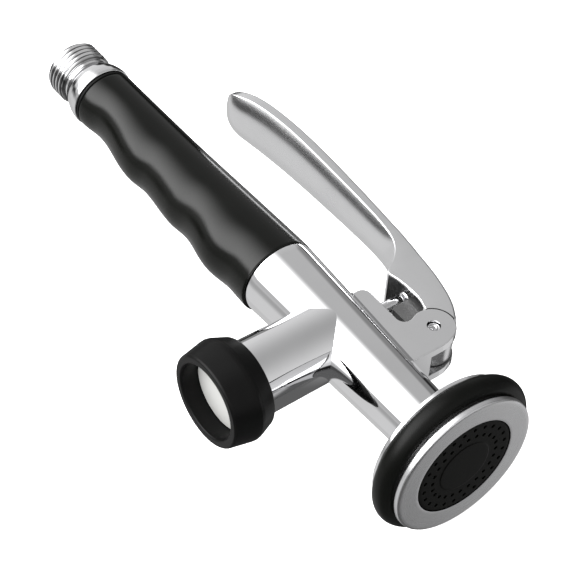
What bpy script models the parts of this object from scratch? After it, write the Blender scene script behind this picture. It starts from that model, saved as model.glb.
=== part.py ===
"""Handheld bath sprayer: a chrome tee valve body with a hand grip, a squeeze lever and a flat spray head.

The sprayer lies on its side.  +X runs along the barrel towards the spray face, +Y points from the
barrel to the lever, and +Z is up.  The origin is at the bottom centre of the whole object's box.

All sizes are in millimetres in the barrel frame, whose zero is where the barrel's axis crosses the
valve's axis.  Every mesh is scaled to metres as it is made, and every object is placed by BARREL_AT.
"""

import math

import bmesh
import bpy
from mathutils import Matrix, Vector

MM = 0.001
GAP = 0.3                    # clearance between neighbouring solids
MERGE = 0.000001             # merge distance, metres

# Driving dimensions of the outside
REAR_X = -155.1              # hose end
FACE_X = 65.24               # spray face
MOUTH_Y = -51.6              # mouth of the stub's rubber bumper
LEVER_TOP = 43.3             # highest line of the lever
RING_R = 29.6                # head bumper ring

# Barrel and stub of the valve body
BARREL_R0 = 12.67            # radius where the valve's axis crosses
BARREL_TAPER = -0.040        # radius change for each millimetre along X
BARREL_REAR = -30.5
BARREL_FRONT = 50.0
SPIGOT_FRONT = 57.0
SPIGOT_R = 8.8
TAIL_REAR = -46.0
TAIL_R = 10.6
STUB_R_ROOT = 12.5
STUB_R = 12.94
STUB_END = 42.85             # distance of the stub's end from the barrel's axis

# Passages in the valve body
TUBE_POCKET_R = 8.0
TUBE_POCKET_END = -32.0
INLET_R = 6.0
INLET_END = -6.6
OUTLET_R = 6.5
CHAMBER_R = 10.5             # spring chamber in the stub
CHAMBER_START = 13.7
SEAT_POCKET_R = 5.3
SEAT_POCKET_START = 10.5
THROAT_R = 4.8
GUIDE_R = 2.7
GUIDE_START = -9.0
PORT_R = 2.0
PORT_X = -7.9
PORT_Z = 2.9
PORT_LENGTH = 14.6
THROUGH = 30.0               # length of a cutter that goes right through
O_RING_GROOVES = ((-15.0, -13.0), (-12.2, -10.2))
O_RING_GROOVE_R = 4.3

# Lever bracket
PIN_X = 19.5
PIN_Y = 24.0
EAR_R = 7.4
EAR_Z = 7.7
SLOT_Z = 4.6
SLOT_FLOOR = 16.8
BASE_TOP = 16.0
BASE_REAR = -6.2
BASE_CORNER_R = 3.2
EAR_FRONT = 27.7
NOTCH_R = 3.0
PIN_R = 2.0
PIN_HALF = 6.9
PIN_BORE_R = 2.3

# Spindle and what it carries, measured from the barrel's axis towards the stub's mouth
SPINDLE_R = 2.4
SPINDLE_TIP = -27.8
SPINDLE_NECK_R = 1.6
SHOULDER_R = 2.9
SHOULDER_FACE = 14.6
SPINDLE_END = 24.0
WASHER_FACE = SHOULDER_FACE + GAP
WASHER_BACK = 17.3
WASHER_R = 6.0
HOLDER_BACK = 19.4
SPRING_R = 4.9
SPRING_WIRE_R = 0.5
SPRING_TURNS = 6
SPRING_STEPS = 12            # points on each turn of the spring
PLUG_SPRING_SEAT = 41.0
PLUG_FACE = 45.15

# Grip and tube
GRIP_REAR = -133.3
GRIP_FRONT = BARREL_REAR - GAP
TUBE_R = 7.7
TUBE_BORE_R = 5.5
TUBE_REAR = -140.6
TUBE_FRONT = -33.4

# Hose thread, G 1/2
THREAD_R = 10.48
THREAD_ROOT_R = 9.32
THREAD_PITCH = 1.814
THREAD_TURNS = 5
COLLAR_FRONT = -134.9

# Spray head
LIP_R = 26.2
LIP_REAR = 52.0
LIP_FRONT = 54.0
CUP_R = 22.2
CUP_BORE_R = 20.0
CUP_FRONT = 60.6
PLATE_REAR = 63.0
INSERT_R = 18.05
HOLE_RINGS = ((15.9, 24, 7.9), (12.6, 24, 0.9))   # radius, count, angle of the first hole
HOLE_R = 0.6

# Lever
LEVER_Z = 7.7
TONGUE_R = 6.8
TONGUE_Z = 4.3
EAR_CLEARANCE = 0.35         # room between the lever's root and the ears
LEVER_FLOOR = 26.4
POCKET_LOW = (-6.7, 20.0, -6.9)      # corners of the hollow in the lever's root
POCKET_HIGH = (11.0, 31.5, 6.9)
PAD_R = 2.6                  # pad that presses on the spindle's tip
PAD_FACE = -SPINDLE_TIP + GAP
PAD_TOP = 32.5
HEEL_LOW = (3.6, 19.6, -4.3)         # corners of the heel behind the tongue
HEEL_HIGH = (13.5, 32.0, 4.3)

BARREL_AT = Vector((
    -(REAR_X + FACE_X) / 2.0,
    -(MOUTH_Y + LEVER_TOP) / 2.0,
    RING_R,
)) * MM

ALONG_X = Matrix.Rotation(math.radians(90.0), 4, "Y")
ALONG_STUB = Matrix.Rotation(math.radians(90.0), 4, "X")
ALONG_Z = Matrix.Identity(4)

FINISHES = {
    "chrome": ((0.82, 0.82, 0.83), 0.06, 1.0),
    "satin_chrome": ((0.62, 0.62, 0.63), 0.28, 1.0),
    "brass": ((0.72, 0.54, 0.25), 0.3, 1.0),
    "steel": ((0.55, 0.55, 0.56), 0.3, 1.0),
    "black_plastic": ((0.012, 0.012, 0.012), 0.32, 0.0),
    "black_rubber": ((0.01, 0.01, 0.01), 0.6, 0.0),
    "white_plastic": ((0.75, 0.75, 0.73), 0.4, 0.0),
    "grey_plastic": ((0.6, 0.6, 0.58), 0.4, 0.0),
}


def clear_scene():
    """Remove every object of the scene."""
    for item in list(bpy.data.objects):
        bpy.data.objects.remove(item, do_unlink=True)


def make_collection(name):
    """Make a collection in the scene."""
    made = bpy.data.collections.new(name)
    bpy.context.scene.collection.children.link(made)
    return made


def make_finishes():
    """Make one Principled material for each finish."""
    made = {}
    for name, (colour, roughness, metallic) in FINISHES.items():
        material = bpy.data.materials.new(name)
        material.use_nodes = True
        shader = material.node_tree.nodes["Principled BSDF"]
        shader.inputs["Base Color"].default_value = (*colour, 1.0)
        shader.inputs["Roughness"].default_value = roughness
        shader.inputs["Metallic"].default_value = metallic
        made[name] = material
    return made


clear_scene()
SPRAYER = make_collection("bath_sprayer")
CUTTERS = make_collection("cutters")
MATERIALS = make_finishes()


def place(name, mesh, finish, turn=ALONG_Z, about=(0.0, 0.0, 0.0)):
    """Make an object at a point of the barrel frame; a finish of None makes a cutter."""
    item = bpy.data.objects.new(name, mesh)
    item.matrix_world = Matrix.Translation(BARREL_AT + Vector(about) * MM) @ turn
    if finish is None:
        CUTTERS.objects.link(item)
        item.hide_render = True
        item.display_type = "WIRE"
        return item
    SPRAYER.objects.link(item)
    mesh.materials.append(MATERIALS[finish])
    mesh.shade_smooth()
    mesh.set_sharp_from_angle(angle=math.radians(32.0))
    return item


def arc(centre, radius, start, end, count):
    """Points on an arc, its angles in degrees."""
    points = []
    for step in range(count + 1):
        angle = math.radians(start + (end - start) * step / count)
        points.append((centre[0] + radius * math.cos(angle), centre[1] + radius * math.sin(angle)))
    return points


def turned(name, outline, finish, turn=ALONG_X, segments=40):
    """A turned piece: an outline of (along, radius) points with a Screw modifier.

    An outline whose ends lie on the axis makes a plain solid, and any other is closed into a ring.
    """
    area = 0.0
    for (a0, r0), (a1, r1) in zip(outline, outline[1:] + outline[:1]):
        area += a0 * r1 - a1 * r0
    points = list(outline) if area > 0.0 else list(reversed(outline))
    mesh = bpy.data.meshes.new(name)
    bm = bmesh.new()
    verts = [bm.verts.new((radius * MM, 0.0, along * MM)) for along, radius in points]
    for first, second in zip(verts, verts[1:]):
        bm.edges.new((first, second))
    solid = outline[0][1] == 0.0 and outline[-1][1] == 0.0
    if not solid:
        bm.edges.new((verts[-1], verts[0]))
    bm.to_mesh(mesh)
    bm.free()
    item = place(name, mesh, finish, turn)
    screw = item.modifiers.new("turn", "SCREW")
    screw.axis = "Z"
    screw.angle = math.tau
    screw.steps = segments
    screw.render_steps = segments
    screw.use_merge_vertices = True
    screw.merge_threshold = MERGE
    screw.use_smooth_shade = True
    return item


def disc_outline(low, high, radius):
    """Outline of a solid disc."""
    return [(low, 0.0), (low, radius), (high, radius), (high, 0.0)]


def ring_outline(low, high, inner, outer):
    """Outline of a flat ring."""
    return [(low, inner), (low, outer), (high, outer), (high, inner)]


def o_ring_outline(along, radius, section):
    """Outline of a rubber O-ring: an eight-sided section."""
    return arc((along, radius), section, 0.0, 315.0, 7)


def plate(name, outline, half, finish):
    """A flat outline in XY, extruded by half its thickness each way along Z, as a mesh."""
    curve = bpy.data.curves.new(name, "CURVE")
    curve.dimensions = "2D"
    curve.fill_mode = "BOTH"
    curve.extrude = half * MM
    spline = curve.splines.new("POLY")
    spline.points.add(len(outline) - 1)
    for point, (x, y) in zip(spline.points, outline):
        point.co = (x * MM, y * MM, 0.0, 1.0)
    spline.use_cyclic_u = True
    guide = bpy.data.objects.new(name + "_guide", curve)
    CUTTERS.objects.link(guide)
    graph = bpy.context.evaluated_depsgraph_get()
    mesh = bpy.data.meshes.new_from_object(guide.evaluated_get(graph))
    bpy.data.objects.remove(guide, do_unlink=True)
    bm = bmesh.new()
    bm.from_mesh(mesh)
    bmesh.ops.remove_doubles(bm, verts=bm.verts, dist=MERGE)
    bmesh.ops.recalc_face_normals(bm, faces=bm.faces)
    bm.to_mesh(mesh)
    bm.free()
    return place(name, mesh, finish)


def cylinder(name, centre, radius, length, turn, segments=16):
    """A cylindrical cutter centred on a point."""
    mesh = bpy.data.meshes.new(name)
    bm = bmesh.new()
    bmesh.ops.create_cone(
        bm, cap_ends=True, segments=segments,
        radius1=radius * MM, radius2=radius * MM, depth=length * MM,
    )
    bm.to_mesh(mesh)
    bm.free()
    return place(name, mesh, None, turn, centre)


def box(name, low, high):
    """A box-shaped cutter between two corners."""
    mesh = bpy.data.meshes.new(name)
    bm = bmesh.new()
    bmesh.ops.create_cube(bm, size=1.0)
    size = Vector(high) - Vector(low)
    bmesh.ops.scale(bm, vec=size * MM, verts=bm.verts)
    bm.to_mesh(mesh)
    bm.free()
    return place(name, mesh, None, ALONG_Z, (Vector(low) + Vector(high)) / 2.0)


def combine(item, tool, operation="DIFFERENCE", solver="EXACT"):
    """Cut an object with a tool, or join the tool to it."""
    change = item.modifiers.new(tool.name, "BOOLEAN")
    change.operation = operation
    change.object = tool
    change.solver = solver


def loft(name, rings, finish):
    """A solid through a row of closed sections with the same number of points."""
    mesh = bpy.data.meshes.new(name)
    bm = bmesh.new()
    rows = [[bm.verts.new(Vector(point) * MM) for point in ring] for ring in rings]
    for first, second in zip(rows, rows[1:]):
        for i in range(len(first)):
            k = (i + 1) % len(first)
            bm.faces.new((first[i], first[k], second[k], second[i]))
    bm.faces.new(rows[0])
    bm.faces.new(rows[-1])
    bmesh.ops.triangulate(bm, faces=[face for face in bm.faces if len(face.verts) > 4])
    bmesh.ops.recalc_face_normals(bm, faces=bm.faces)
    bm.to_mesh(mesh)
    bm.free()
    return place(name, mesh, finish)


def smooth_between(x, knots):
    """A smooth value at x between knots of (x, value), with level ends and peaks at the knots."""
    if x <= knots[0][0]:
        return knots[0][1]
    for (x0, v0), (x1, v1) in zip(knots, knots[1:]):
        if x <= x1:
            part = (x - x0) / (x1 - x0)
            return v0 + (v1 - v0) * (1.0 - math.cos(math.pi * part)) / 2.0
    return knots[-1][1]


def curve_through(x, knots):
    """A smooth value at x on a Catmull-Rom curve through knots of (x, value)."""
    last = len(knots) - 1
    i = 0
    while i < last - 1 and x > knots[i + 1][0]:
        i += 1
    (x0, v0), (x1, v1) = knots[i], knots[i + 1]
    before = knots[max(i - 1, 0)]
    after = knots[min(i + 2, last)]
    slope0 = (v1 - before[1]) / (x1 - before[0])
    slope1 = (after[1] - v0) / (after[0] - x0)
    width = x1 - x0
    t = min(max((x - x0) / width, 0.0), 1.0)
    return ((2 * t**3 - 3 * t**2 + 1) * v0 + (t**3 - 2 * t**2 + t) * width * slope0
            + (-2 * t**3 + 3 * t**2) * v1 + (t**3 - t**2) * width * slope1)


def barrel_radius(x):
    """Radius of the tapered barrel."""
    return BARREL_R0 + BARREL_TAPER * x


# ---------------------------------------------------------------- valve body
def bracket_outline():
    """Side outline of the lever bracket, from its rear foot round the ear to its front foot."""
    foot = 4.0
    corner = (BASE_REAR + BASE_CORNER_R, BASE_TOP - BASE_CORNER_R)
    rise = BASE_TOP + NOTCH_R - PIN_Y
    notch_x = PIN_X - math.sqrt((EAR_R + NOTCH_R) ** 2 - rise ** 2)
    notch = (notch_x, BASE_TOP + NOTCH_R)
    turn_angle = math.degrees(math.atan2(notch[1] - PIN_Y, notch[0] - PIN_X))
    points = [(BASE_REAR, foot)]
    points += arc(corner, BASE_CORNER_R, 180.0, 90.0, 5)
    points += arc(notch, NOTCH_R, -90.0, turn_angle + 180.0, 4)
    points += arc((PIN_X, PIN_Y), EAR_R, turn_angle + 360.0, 16.0, 18)[1:]
    points += [(EAR_FRONT - 0.2, 23.6), (EAR_FRONT, 21.4), (EAR_FRONT, foot)]
    return points


def make_valve_body():
    """The cast tee: barrel, valve stub and lever bracket in one, bored for the water and the spindle."""
    body = turned("valve_body", [
        (TAIL_REAR, 0.0), (TAIL_REAR, TAIL_R), (BARREL_REAR, TAIL_R),
        (BARREL_REAR, barrel_radius(BARREL_REAR)), (BARREL_FRONT, barrel_radius(BARREL_FRONT)),
        (BARREL_FRONT, SPIGOT_R), (SPIGOT_FRONT, SPIGOT_R), (SPIGOT_FRONT, 0.0),
    ], "chrome", segments=48)
    stub = turned("stub_solid", [
        (0.0, 0.0), (0.0, STUB_R_ROOT), (33.0, STUB_R), (STUB_END, STUB_R), (STUB_END, 0.0),
    ], None, ALONG_STUB, 40)
    combine(body, stub, "UNION")
    bracket = plate("bracket_solid", bracket_outline(), EAR_Z, None)
    combine(body, bracket, "UNION")
    combine(body, box("slot", (8.0, SLOT_FLOOR, -SLOT_Z), (EAR_FRONT + 5.0, 40.0, SLOT_Z)))
    combine(body, turned("inlet_bore", [
        (TAIL_REAR - 1.0, 0.0), (TAIL_REAR - 1.0, TUBE_POCKET_R), (TUBE_POCKET_END, TUBE_POCKET_R),
        (TUBE_POCKET_END, INLET_R), (INLET_END, INLET_R), (INLET_END, 0.0),
    ], None, segments=24))
    grooves = []
    for start, end in O_RING_GROOVES:
        grooves += [(start, GUIDE_R), (start, O_RING_GROOVE_R), (end, O_RING_GROOVE_R), (end, GUIDE_R)]
    combine(body, turned("valve_bore", [
        (-20.0, 0.0), (-20.0, GUIDE_R)] + grooves + [
        (GUIDE_START, GUIDE_R), (GUIDE_START, THROAT_R), (SEAT_POCKET_START, THROAT_R),
        (SEAT_POCKET_START, SEAT_POCKET_R), (CHAMBER_START, SEAT_POCKET_R),
        (CHAMBER_START, CHAMBER_R), (STUB_END + 1.0, CHAMBER_R), (STUB_END + 1.0, 0.0),
    ], None, ALONG_STUB, 24))
    combine(body, turned("outlet_bore", disc_outline(0.0, SPIGOT_FRONT + 1.0, OUTLET_R), None, segments=20))
    for side in (-1.0, 1.0):
        port = cylinder("inlet_port", (PORT_X, -PORT_LENGTH / 2.0, side * PORT_Z), PORT_R, PORT_LENGTH,
                        ALONG_STUB, 12)
        combine(body, port)
    combine(body, cylinder("pin_bore", (PIN_X, PIN_Y, 0.0), PIN_BORE_R, THROUGH, ALONG_Z, 20))


# ---------------------------------------------------------------- inlet and handle
def thread_outline():
    """Rear face and crests of the hose thread as (along, radius) points."""
    points = [(REAR_X, THREAD_ROOT_R + 0.3)]
    for turn in range(THREAD_TURNS):
        start = REAR_X + 0.35 + turn * THREAD_PITCH
        points += [
            (start + 0.35, THREAD_R), (start + 0.75, THREAD_R), (start + 1.45, THREAD_ROOT_R),
        ]
    return points


def make_inlet():
    """Hose nipple with its collar, the filter, the tube through the grip and its seals."""
    turned("inlet_nipple", [(REAR_X, 6.5)] + thread_outline() + [
        (-145.2, 9.2), (-144.3, 9.05), (-143.2, 9.35), (-141.4, 10.5), (-139.4, 11.25),
        (-137.4, 11.7), (-135.9, 11.8), (COLLAR_FRONT, 11.7), (COLLAR_FRONT, TUBE_POCKET_R),
        (-142.0, TUBE_POCKET_R), (-142.0, 5.6), (-149.4, 5.6), (-149.4, 6.5),
    ], "chrome", segments=28)
    filter_disc = turned("inlet_filter", disc_outline(-150.6, -149.7, 6.2), "steel", segments=20)
    for spoke in range(6):
        angle = math.radians(60.0 * spoke + 7.0)
        centre = (-150.0, 3.8 * math.cos(angle), 3.8 * math.sin(angle))
        combine(filter_disc, cylinder("filter_hole", centre, 1.2, 5.0, ALONG_X, 8))
    turned("water_tube", ring_outline(TUBE_REAR, TUBE_FRONT, TUBE_BORE_R, TUBE_R), "brass", segments=24)
    turned("tube_seal_rear", ring_outline(-141.7, TUBE_REAR - GAP, 5.9, TUBE_R), "black_rubber", segments=20)
    turned("tube_seal_front", ring_outline(TUBE_FRONT + GAP, TUBE_POCKET_END - GAP, 5.9, TUBE_R),
           "black_rubber", segments=20)
    turned("grip_seal_ring", ring_outline(COLLAR_FRONT + GAP, GRIP_REAR - GAP, 8.1, 11.35),
           "black_rubber", segments=28)


GRIP_BACK = [(-133.3, 11.38), (-114.0, 11.6), (-89.0, 12.05), (-60.0, 13.1), (-36.0, 13.9), (-30.8, 14.0)]
FINGER_WAVE = [
    (-133.3, 0.1), (-123.5, -1.25), (-101.2, 1.75), (-92.0, 0.55), (-76.2, 1.5),
    (-67.0, 0.4), (-51.5, 2.3), (-39.5, 0.7), (-30.8, 0.75),
]
GRIP_STATIONS = 30
GRIP_SIDES = 24


def grip_ring(x, shrink=0.0):
    """One section of the grip: round at the back, wavy where the fingers close."""
    back = curve_through(x, GRIP_BACK) - shrink
    wave = smooth_between(x, FINGER_WAVE)
    ring = []
    for side in range(GRIP_SIDES):
        angle = math.tau * side / GRIP_SIDES
        facing = max(-math.cos(angle), 0.0)
        radius = back + wave * facing ** 1.5
        ring.append((x, radius * math.cos(angle), radius * math.sin(angle)))
    return ring


def make_grip():
    """The moulded grip sleeve, bored for the tube and the valve body's tail."""
    rings = []
    rings.append(grip_ring(GRIP_REAR, 0.5))
    for station in range(GRIP_STATIONS + 1):
        x = GRIP_REAR + 0.6 + (GRIP_FRONT - GRIP_REAR - 1.4) * station / GRIP_STATIONS
        rings.append(grip_ring(x))
    rings.append(grip_ring(GRIP_FRONT, 0.6))
    grip = loft("hand_grip", rings, "black_plastic")
    combine(grip, turned("grip_bore", [
        (GRIP_REAR - 1.0, 0.0), (GRIP_REAR - 1.0, TUBE_R + 0.4), (TAIL_REAR - 0.4, TUBE_R + 0.4),
        (TAIL_REAR - 0.4, TAIL_R + GAP), (GRIP_FRONT + 1.0, TAIL_R + GAP), (GRIP_FRONT + 1.0, 0.0),
    ], None, segments=24))


# ---------------------------------------------------------------- valve parts
def make_valve():
    """Everything that works inside the stub: seat, seals, spindle, washer, spring and plug."""
    turned("valve_seat", [
        (10.8, 3.5), (10.8, 5.0), (14.2, 5.0), (SHOULDER_FACE, 4.4), (SHOULDER_FACE, 3.5),
    ], "brass", ALONG_STUB, 24)
    turned("stem_o_ring_upper", o_ring_outline(-14.0, 3.4, 0.65), "black_rubber", ALONG_STUB, 16)
    turned("stem_o_ring_lower", o_ring_outline(-11.2, 3.4, 0.65), "black_rubber", ALONG_STUB, 16)
    turned("spindle", [
        (SPINDLE_TIP, 0.0), (SPINDLE_TIP + 0.1, 0.9), (SPINDLE_TIP + 0.5, 1.75),
        (SPINDLE_TIP + 1.2, 2.25), (SPINDLE_TIP + 2.0, SPINDLE_R), (-6.6, SPINDLE_R),
        (-5.8, SPINDLE_NECK_R), (11.4, SPINDLE_NECK_R), (12.6, SHOULDER_R),
        (SHOULDER_FACE, SHOULDER_R), (SHOULDER_FACE, SPINDLE_NECK_R),
        (SPINDLE_END, SPINDLE_NECK_R), (SPINDLE_END, 0.0),
    ], "steel", ALONG_STUB, 16)
    turned("valve_washer", ring_outline(WASHER_FACE, WASHER_BACK, SPINDLE_NECK_R + GAP, WASHER_R),
           "black_rubber", ALONG_STUB, 20)
    turned("washer_holder", [
        (WASHER_BACK + GAP, SPINDLE_NECK_R + GAP), (WASHER_BACK + GAP, WASHER_R + GAP),
        (15.8, WASHER_R + GAP), (15.8, 7.0), (HOLDER_BACK, 7.0), (HOLDER_BACK, SPINDLE_NECK_R + GAP),
    ], "brass", ALONG_STUB, 24)
    nut = turned("spindle_nut", ring_outline(HOLDER_BACK + GAP, 22.2, SPINDLE_NECK_R + GAP, 3.46),
                 "brass", ALONG_STUB, 6)
    nut.data.shade_flat()
    make_spring()
    turned("end_plug", [
        (37.6, 5.8), (37.6, 10.2), (39.4, 10.2), (39.4, 8.6), (41.4, 8.6), (41.4, 10.2),
        (STUB_END + GAP, 10.2), (STUB_END + GAP, STUB_R), (PLUG_FACE, STUB_R), (PLUG_FACE, 0.0),
        (PLUG_SPRING_SEAT, 0.0), (PLUG_SPRING_SEAT, 5.8),
    ], "grey_plastic", ALONG_STUB, 32)
    turned("plug_seal", o_ring_outline(40.4, 9.55, 0.6), "black_rubber", ALONG_STUB, 20)
    turned("stub_bumper", [
        (35.5, 13.25), (35.5, 15.1), (35.9, 15.55), (40.9, 17.55), (42.0, 17.8), (43.2, 17.7),
        (51.0, 16.25), (-MOUTH_Y, 15.7), (-MOUTH_Y, 13.7), (-MOUTH_Y - 0.45, 13.25),
    ], "black_rubber", ALONG_STUB, 36)


def make_spring():
    """The valve spring: a helix between the washer holder and the plug, with filled ends."""
    low = HOLDER_BACK + GAP + SPRING_WIRE_R
    high = PLUG_SPRING_SEAT - GAP - SPRING_WIRE_R
    steps = SPRING_TURNS * SPRING_STEPS
    curve = bpy.data.curves.new("valve_spring", "CURVE")
    curve.dimensions = "3D"
    curve.bevel_depth = SPRING_WIRE_R * MM
    curve.bevel_resolution = 1
    curve.use_fill_caps = True
    spline = curve.splines.new("POLY")
    spline.points.add(steps)
    for step, point in enumerate(spline.points):
        part = step / steps
        angle = math.tau * SPRING_TURNS * part
        along = low + (high - low) * part
        point.co = (SPRING_R * math.cos(angle) * MM, -along * MM, SPRING_R * math.sin(angle) * MM, 1.0)
    guide = bpy.data.objects.new("valve_spring_guide", curve)
    CUTTERS.objects.link(guide)
    graph = bpy.context.evaluated_depsgraph_get()
    mesh = bpy.data.meshes.new_from_object(guide.evaluated_get(graph))
    bpy.data.objects.remove(guide, do_unlink=True)
    bm = bmesh.new()
    bm.from_mesh(mesh)
    bmesh.ops.remove_doubles(bm, verts=bm.verts, dist=MERGE)
    bmesh.ops.recalc_face_normals(bm, faces=bm.faces)
    bm.to_mesh(mesh)
    bm.free()
    place("valve_spring", mesh, "steel")


# ---------------------------------------------------------------- spray head
def make_head():
    """Flange, seals, restrictor, diffuser, nozzle insert, face plate and the rubber bumper ring."""
    bore = SPIGOT_R + GAP
    turned("head_flange", [
        (BARREL_FRONT + GAP, bore), (BARREL_FRONT + GAP, 12.0), (51.6, 22.0), (LIP_REAR, 25.4),
        (LIP_REAR + 0.5, LIP_R), (LIP_FRONT - 0.4, LIP_R), (LIP_FRONT, 25.8), (LIP_FRONT, CUP_R),
        (CUP_FRONT, CUP_R), (CUP_FRONT, CUP_BORE_R), (LIP_FRONT + 0.2, CUP_BORE_R),
        (LIP_FRONT + 0.4, 12.0), (59.3, 12.0), (59.3, 7.0), (58.5, 7.0), (58.5, bore),
    ], "chrome", segments=40)
    turned("hub_seal", ring_outline(SPIGOT_FRONT + GAP, 58.2, 7.4, 8.7), "black_rubber", segments=20)
    turned("flow_restrictor", ring_outline(54.6, 56.4, 1.6, OUTLET_R - GAP), "white_plastic", segments=20)
    diffuser = turned("diffuser", disc_outline(59.6, 60.4, CUP_BORE_R - GAP), "white_plastic", segments=28)
    for count, radius in ((6, 6.0), (10, 14.0)):
        for i in range(count):
            angle = math.tau * (i + 0.3) / count
            centre = (60.0, radius * math.cos(angle), radius * math.sin(angle))
            combine(diffuser, cylinder("diffuser_hole", centre, 1.3, 4.0, ALONG_X, 8))
    turned("head_gasket", ring_outline(CUP_FRONT + GAP, 61.6, 20.2, 22.0), "black_rubber", segments=28)
    insert = turned("nozzle_insert", [
        (61.9, 0.0), (61.9, 22.0), (62.7, 22.0), (62.7, INSERT_R), (FACE_X, INSERT_R), (FACE_X, 0.0),
    ], "black_plastic", segments=40)
    for radius, count, first in HOLE_RINGS:
        for i in range(count):
            angle = math.radians(first) + math.tau * i / count
            centre = (63.5, radius * math.cos(angle), radius * math.sin(angle))
            combine(insert, cylinder("nozzle_hole", centre, HOLE_R, 8.0, ALONG_X, 6))
    turned("face_plate", [
        (54.4, 22.5), (PLATE_REAR, 22.5), (PLATE_REAR, INSERT_R + GAP), (FACE_X, INSERT_R + GAP),
        (FACE_X, LIP_R - 0.45), (FACE_X - 0.45, LIP_R), (PLATE_REAR + 0.2, LIP_R),
        (PLATE_REAR, 24.6), (54.4, 24.6),
    ], "satin_chrome", segments=44)
    outline = [(54.25, 24.9)] + [
        (58.15 + 3.9 * math.cos(math.radians(a)), 26.0 + (RING_R - 26.0) * math.sin(math.radians(a)))
        for a in range(180, -1, -20)
    ] + [(62.05, 24.9)]
    turned("head_bumper_ring", outline, "black_rubber", segments=44)


# ---------------------------------------------------------------- lever
LEVER_STATIONS = [
    # x, shoulder, edge of the underside, half width, bulge of the underside
    (-108.2, 35.8, 34.9, 3.2, 0.2), (-107.2, 36.6, 34.4, 5.5, 0.9), (-104.8, 37.6, 34.2, 7.6, 1.5),
    (-101.0, 38.8, 34.7, 9.1, 1.8), (-96.0, 40.0, 36.0, 10.0, 2.0), (-88.0, 41.2, 37.3, 10.4, 2.0),
    (-77.0, 42.1, 38.3, 10.4, 2.0), (-65.0, 42.5, 38.7, 10.0, 2.0), (-53.0, 42.5, 38.8, 9.5, 1.9),
    (-42.0, 42.3, 38.8, 9.0, 1.8), (-31.0, 41.9, 38.6, 8.6, 1.7), (-24.0, 41.6, 38.1, 8.3, 1.6),
    (-19.0, 41.4, 37.2, 8.15, 1.4), (-15.5, 41.1, 35.7, 8.0, 1.1), (-12.0, 40.8, 32.8, 7.9, 0.8),
    (-9.4, 40.5, 29.4, 7.8, 0.4), (-7.5, 40.3, LEVER_FLOOR, 7.7, 0.12),
    (-3.0, 39.8, 27.2, 7.7, 0.12), (3.0, 38.9, 27.8, 7.7, 0.12),
    (8.0, 37.8, 27.6, 7.7, 0.12), (12.0, 36.7, LEVER_FLOOR, 7.7, 0.12),
    (16.2, 35.0, LEVER_FLOOR, 7.7, 0.12), (20.8, 32.3, LEVER_FLOOR, 7.7, 0.12),
]
CROWN_RISE = 0.8             # rise of the top's middle over its shoulders
# Across the half width: share of the half width, share of the side's height, share of the crown
CROWN = [(1.0, 0.0, 0.0), (1.0, 0.75, 0.0), (0.97, 0.92, 0.0), (0.88, 1.0, 0.1), (0.55, 1.0, 0.7)]
BULGE_SHARES = (0.9, 0.72, 0.5, 0.25)
BULGE_POWER = 2.5


def lever_section(x, top, edge, half, bulge):
    """One section of the lever: a crowned top, upright sides and a bulged underside."""
    right = [(half * z, edge + (top - edge) * side + CROWN_RISE * rise) for z, side, rise in CROWN]
    under = [(half * z, edge - bulge * (1.0 - z ** BULGE_POWER)) for z in BULGE_SHARES]
    ring = right + [(0.0, top + CROWN_RISE)] + [(-z, y) for z, y in reversed(right)]
    ring += [(-z, y) for z, y in under] + [(0.0, edge - bulge)]
    ring += [(z, y) for z, y in reversed(under)]
    return [(x - PIN_X, y - PIN_Y, z) for z, y in ring]


def make_lever():
    """The squeeze lever with its origin on the pin, and the pin itself."""
    lever = loft("lever", [lever_section(*station) for station in LEVER_STATIONS], "satin_chrome")
    lever.location += Vector((PIN_X, PIN_Y, 0.0)) * MM
    for side in (-1.0, 1.0):
        centre = (PIN_X, PIN_Y, side * (TONGUE_Z + THROUGH / 2.0))
        combine(lever, cylinder("ear_clearance", centre, EAR_R + EAR_CLEARANCE, THROUGH, ALONG_Z, 40),
                solver="MANIFOLD")
    combine(lever, box("lever_pocket", POCKET_LOW, POCKET_HIGH), solver="MANIFOLD")
    pad = cylinder("lever_pad", (0.0, (PAD_FACE + PAD_TOP) / 2.0, 0.0), PAD_R, PAD_TOP - PAD_FACE, ALONG_STUB, 20)
    combine(lever, pad, "UNION", "MANIFOLD")
    combine(lever, box("lever_heel", HEEL_LOW, HEEL_HIGH), "UNION", "MANIFOLD")
    tongue = cylinder("lever_tongue", (PIN_X, PIN_Y, 0.0), TONGUE_R, 2.0 * TONGUE_Z, ALONG_Z, 40)
    combine(lever, tongue, "UNION", "MANIFOLD")
    combine(lever, cylinder("lever_pin_bore", (PIN_X, PIN_Y, 0.0), PIN_BORE_R, THROUGH, ALONG_Z, 20),
            solver="MANIFOLD")
    pin = turned("lever_pin", [
        (-PIN_HALF, 0.0), (-PIN_HALF, PIN_R - 0.3), (-PIN_HALF + 0.3, PIN_R), (PIN_HALF - 0.3, PIN_R),
        (PIN_HALF, PIN_R - 0.3), (PIN_HALF, 0.0),
    ], "steel", ALONG_Z, 20)
    pin.location += Vector((PIN_X, PIN_Y, 0.0)) * MM


make_valve_body()
make_inlet()
make_grip()
make_valve()
make_head()
make_lever()
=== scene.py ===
"""Looks of a handheld bath sprayer: fine surfaces, finishes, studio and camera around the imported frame.

Sizes are millimetres in the barrel frame, whose zero is where the barrel's axis crosses the valve's
axis: +X runs to the spray face, +Y to the lever and +Z is up.  Finished meshes are in metres, in the
row frame, with every object at the origin.
"""

import logging
import math
from dataclasses import dataclass
from enum import Enum
from typing import Callable, Iterable, Sequence

import bmesh
import bpy
from mathutils import Matrix, Vector


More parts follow.
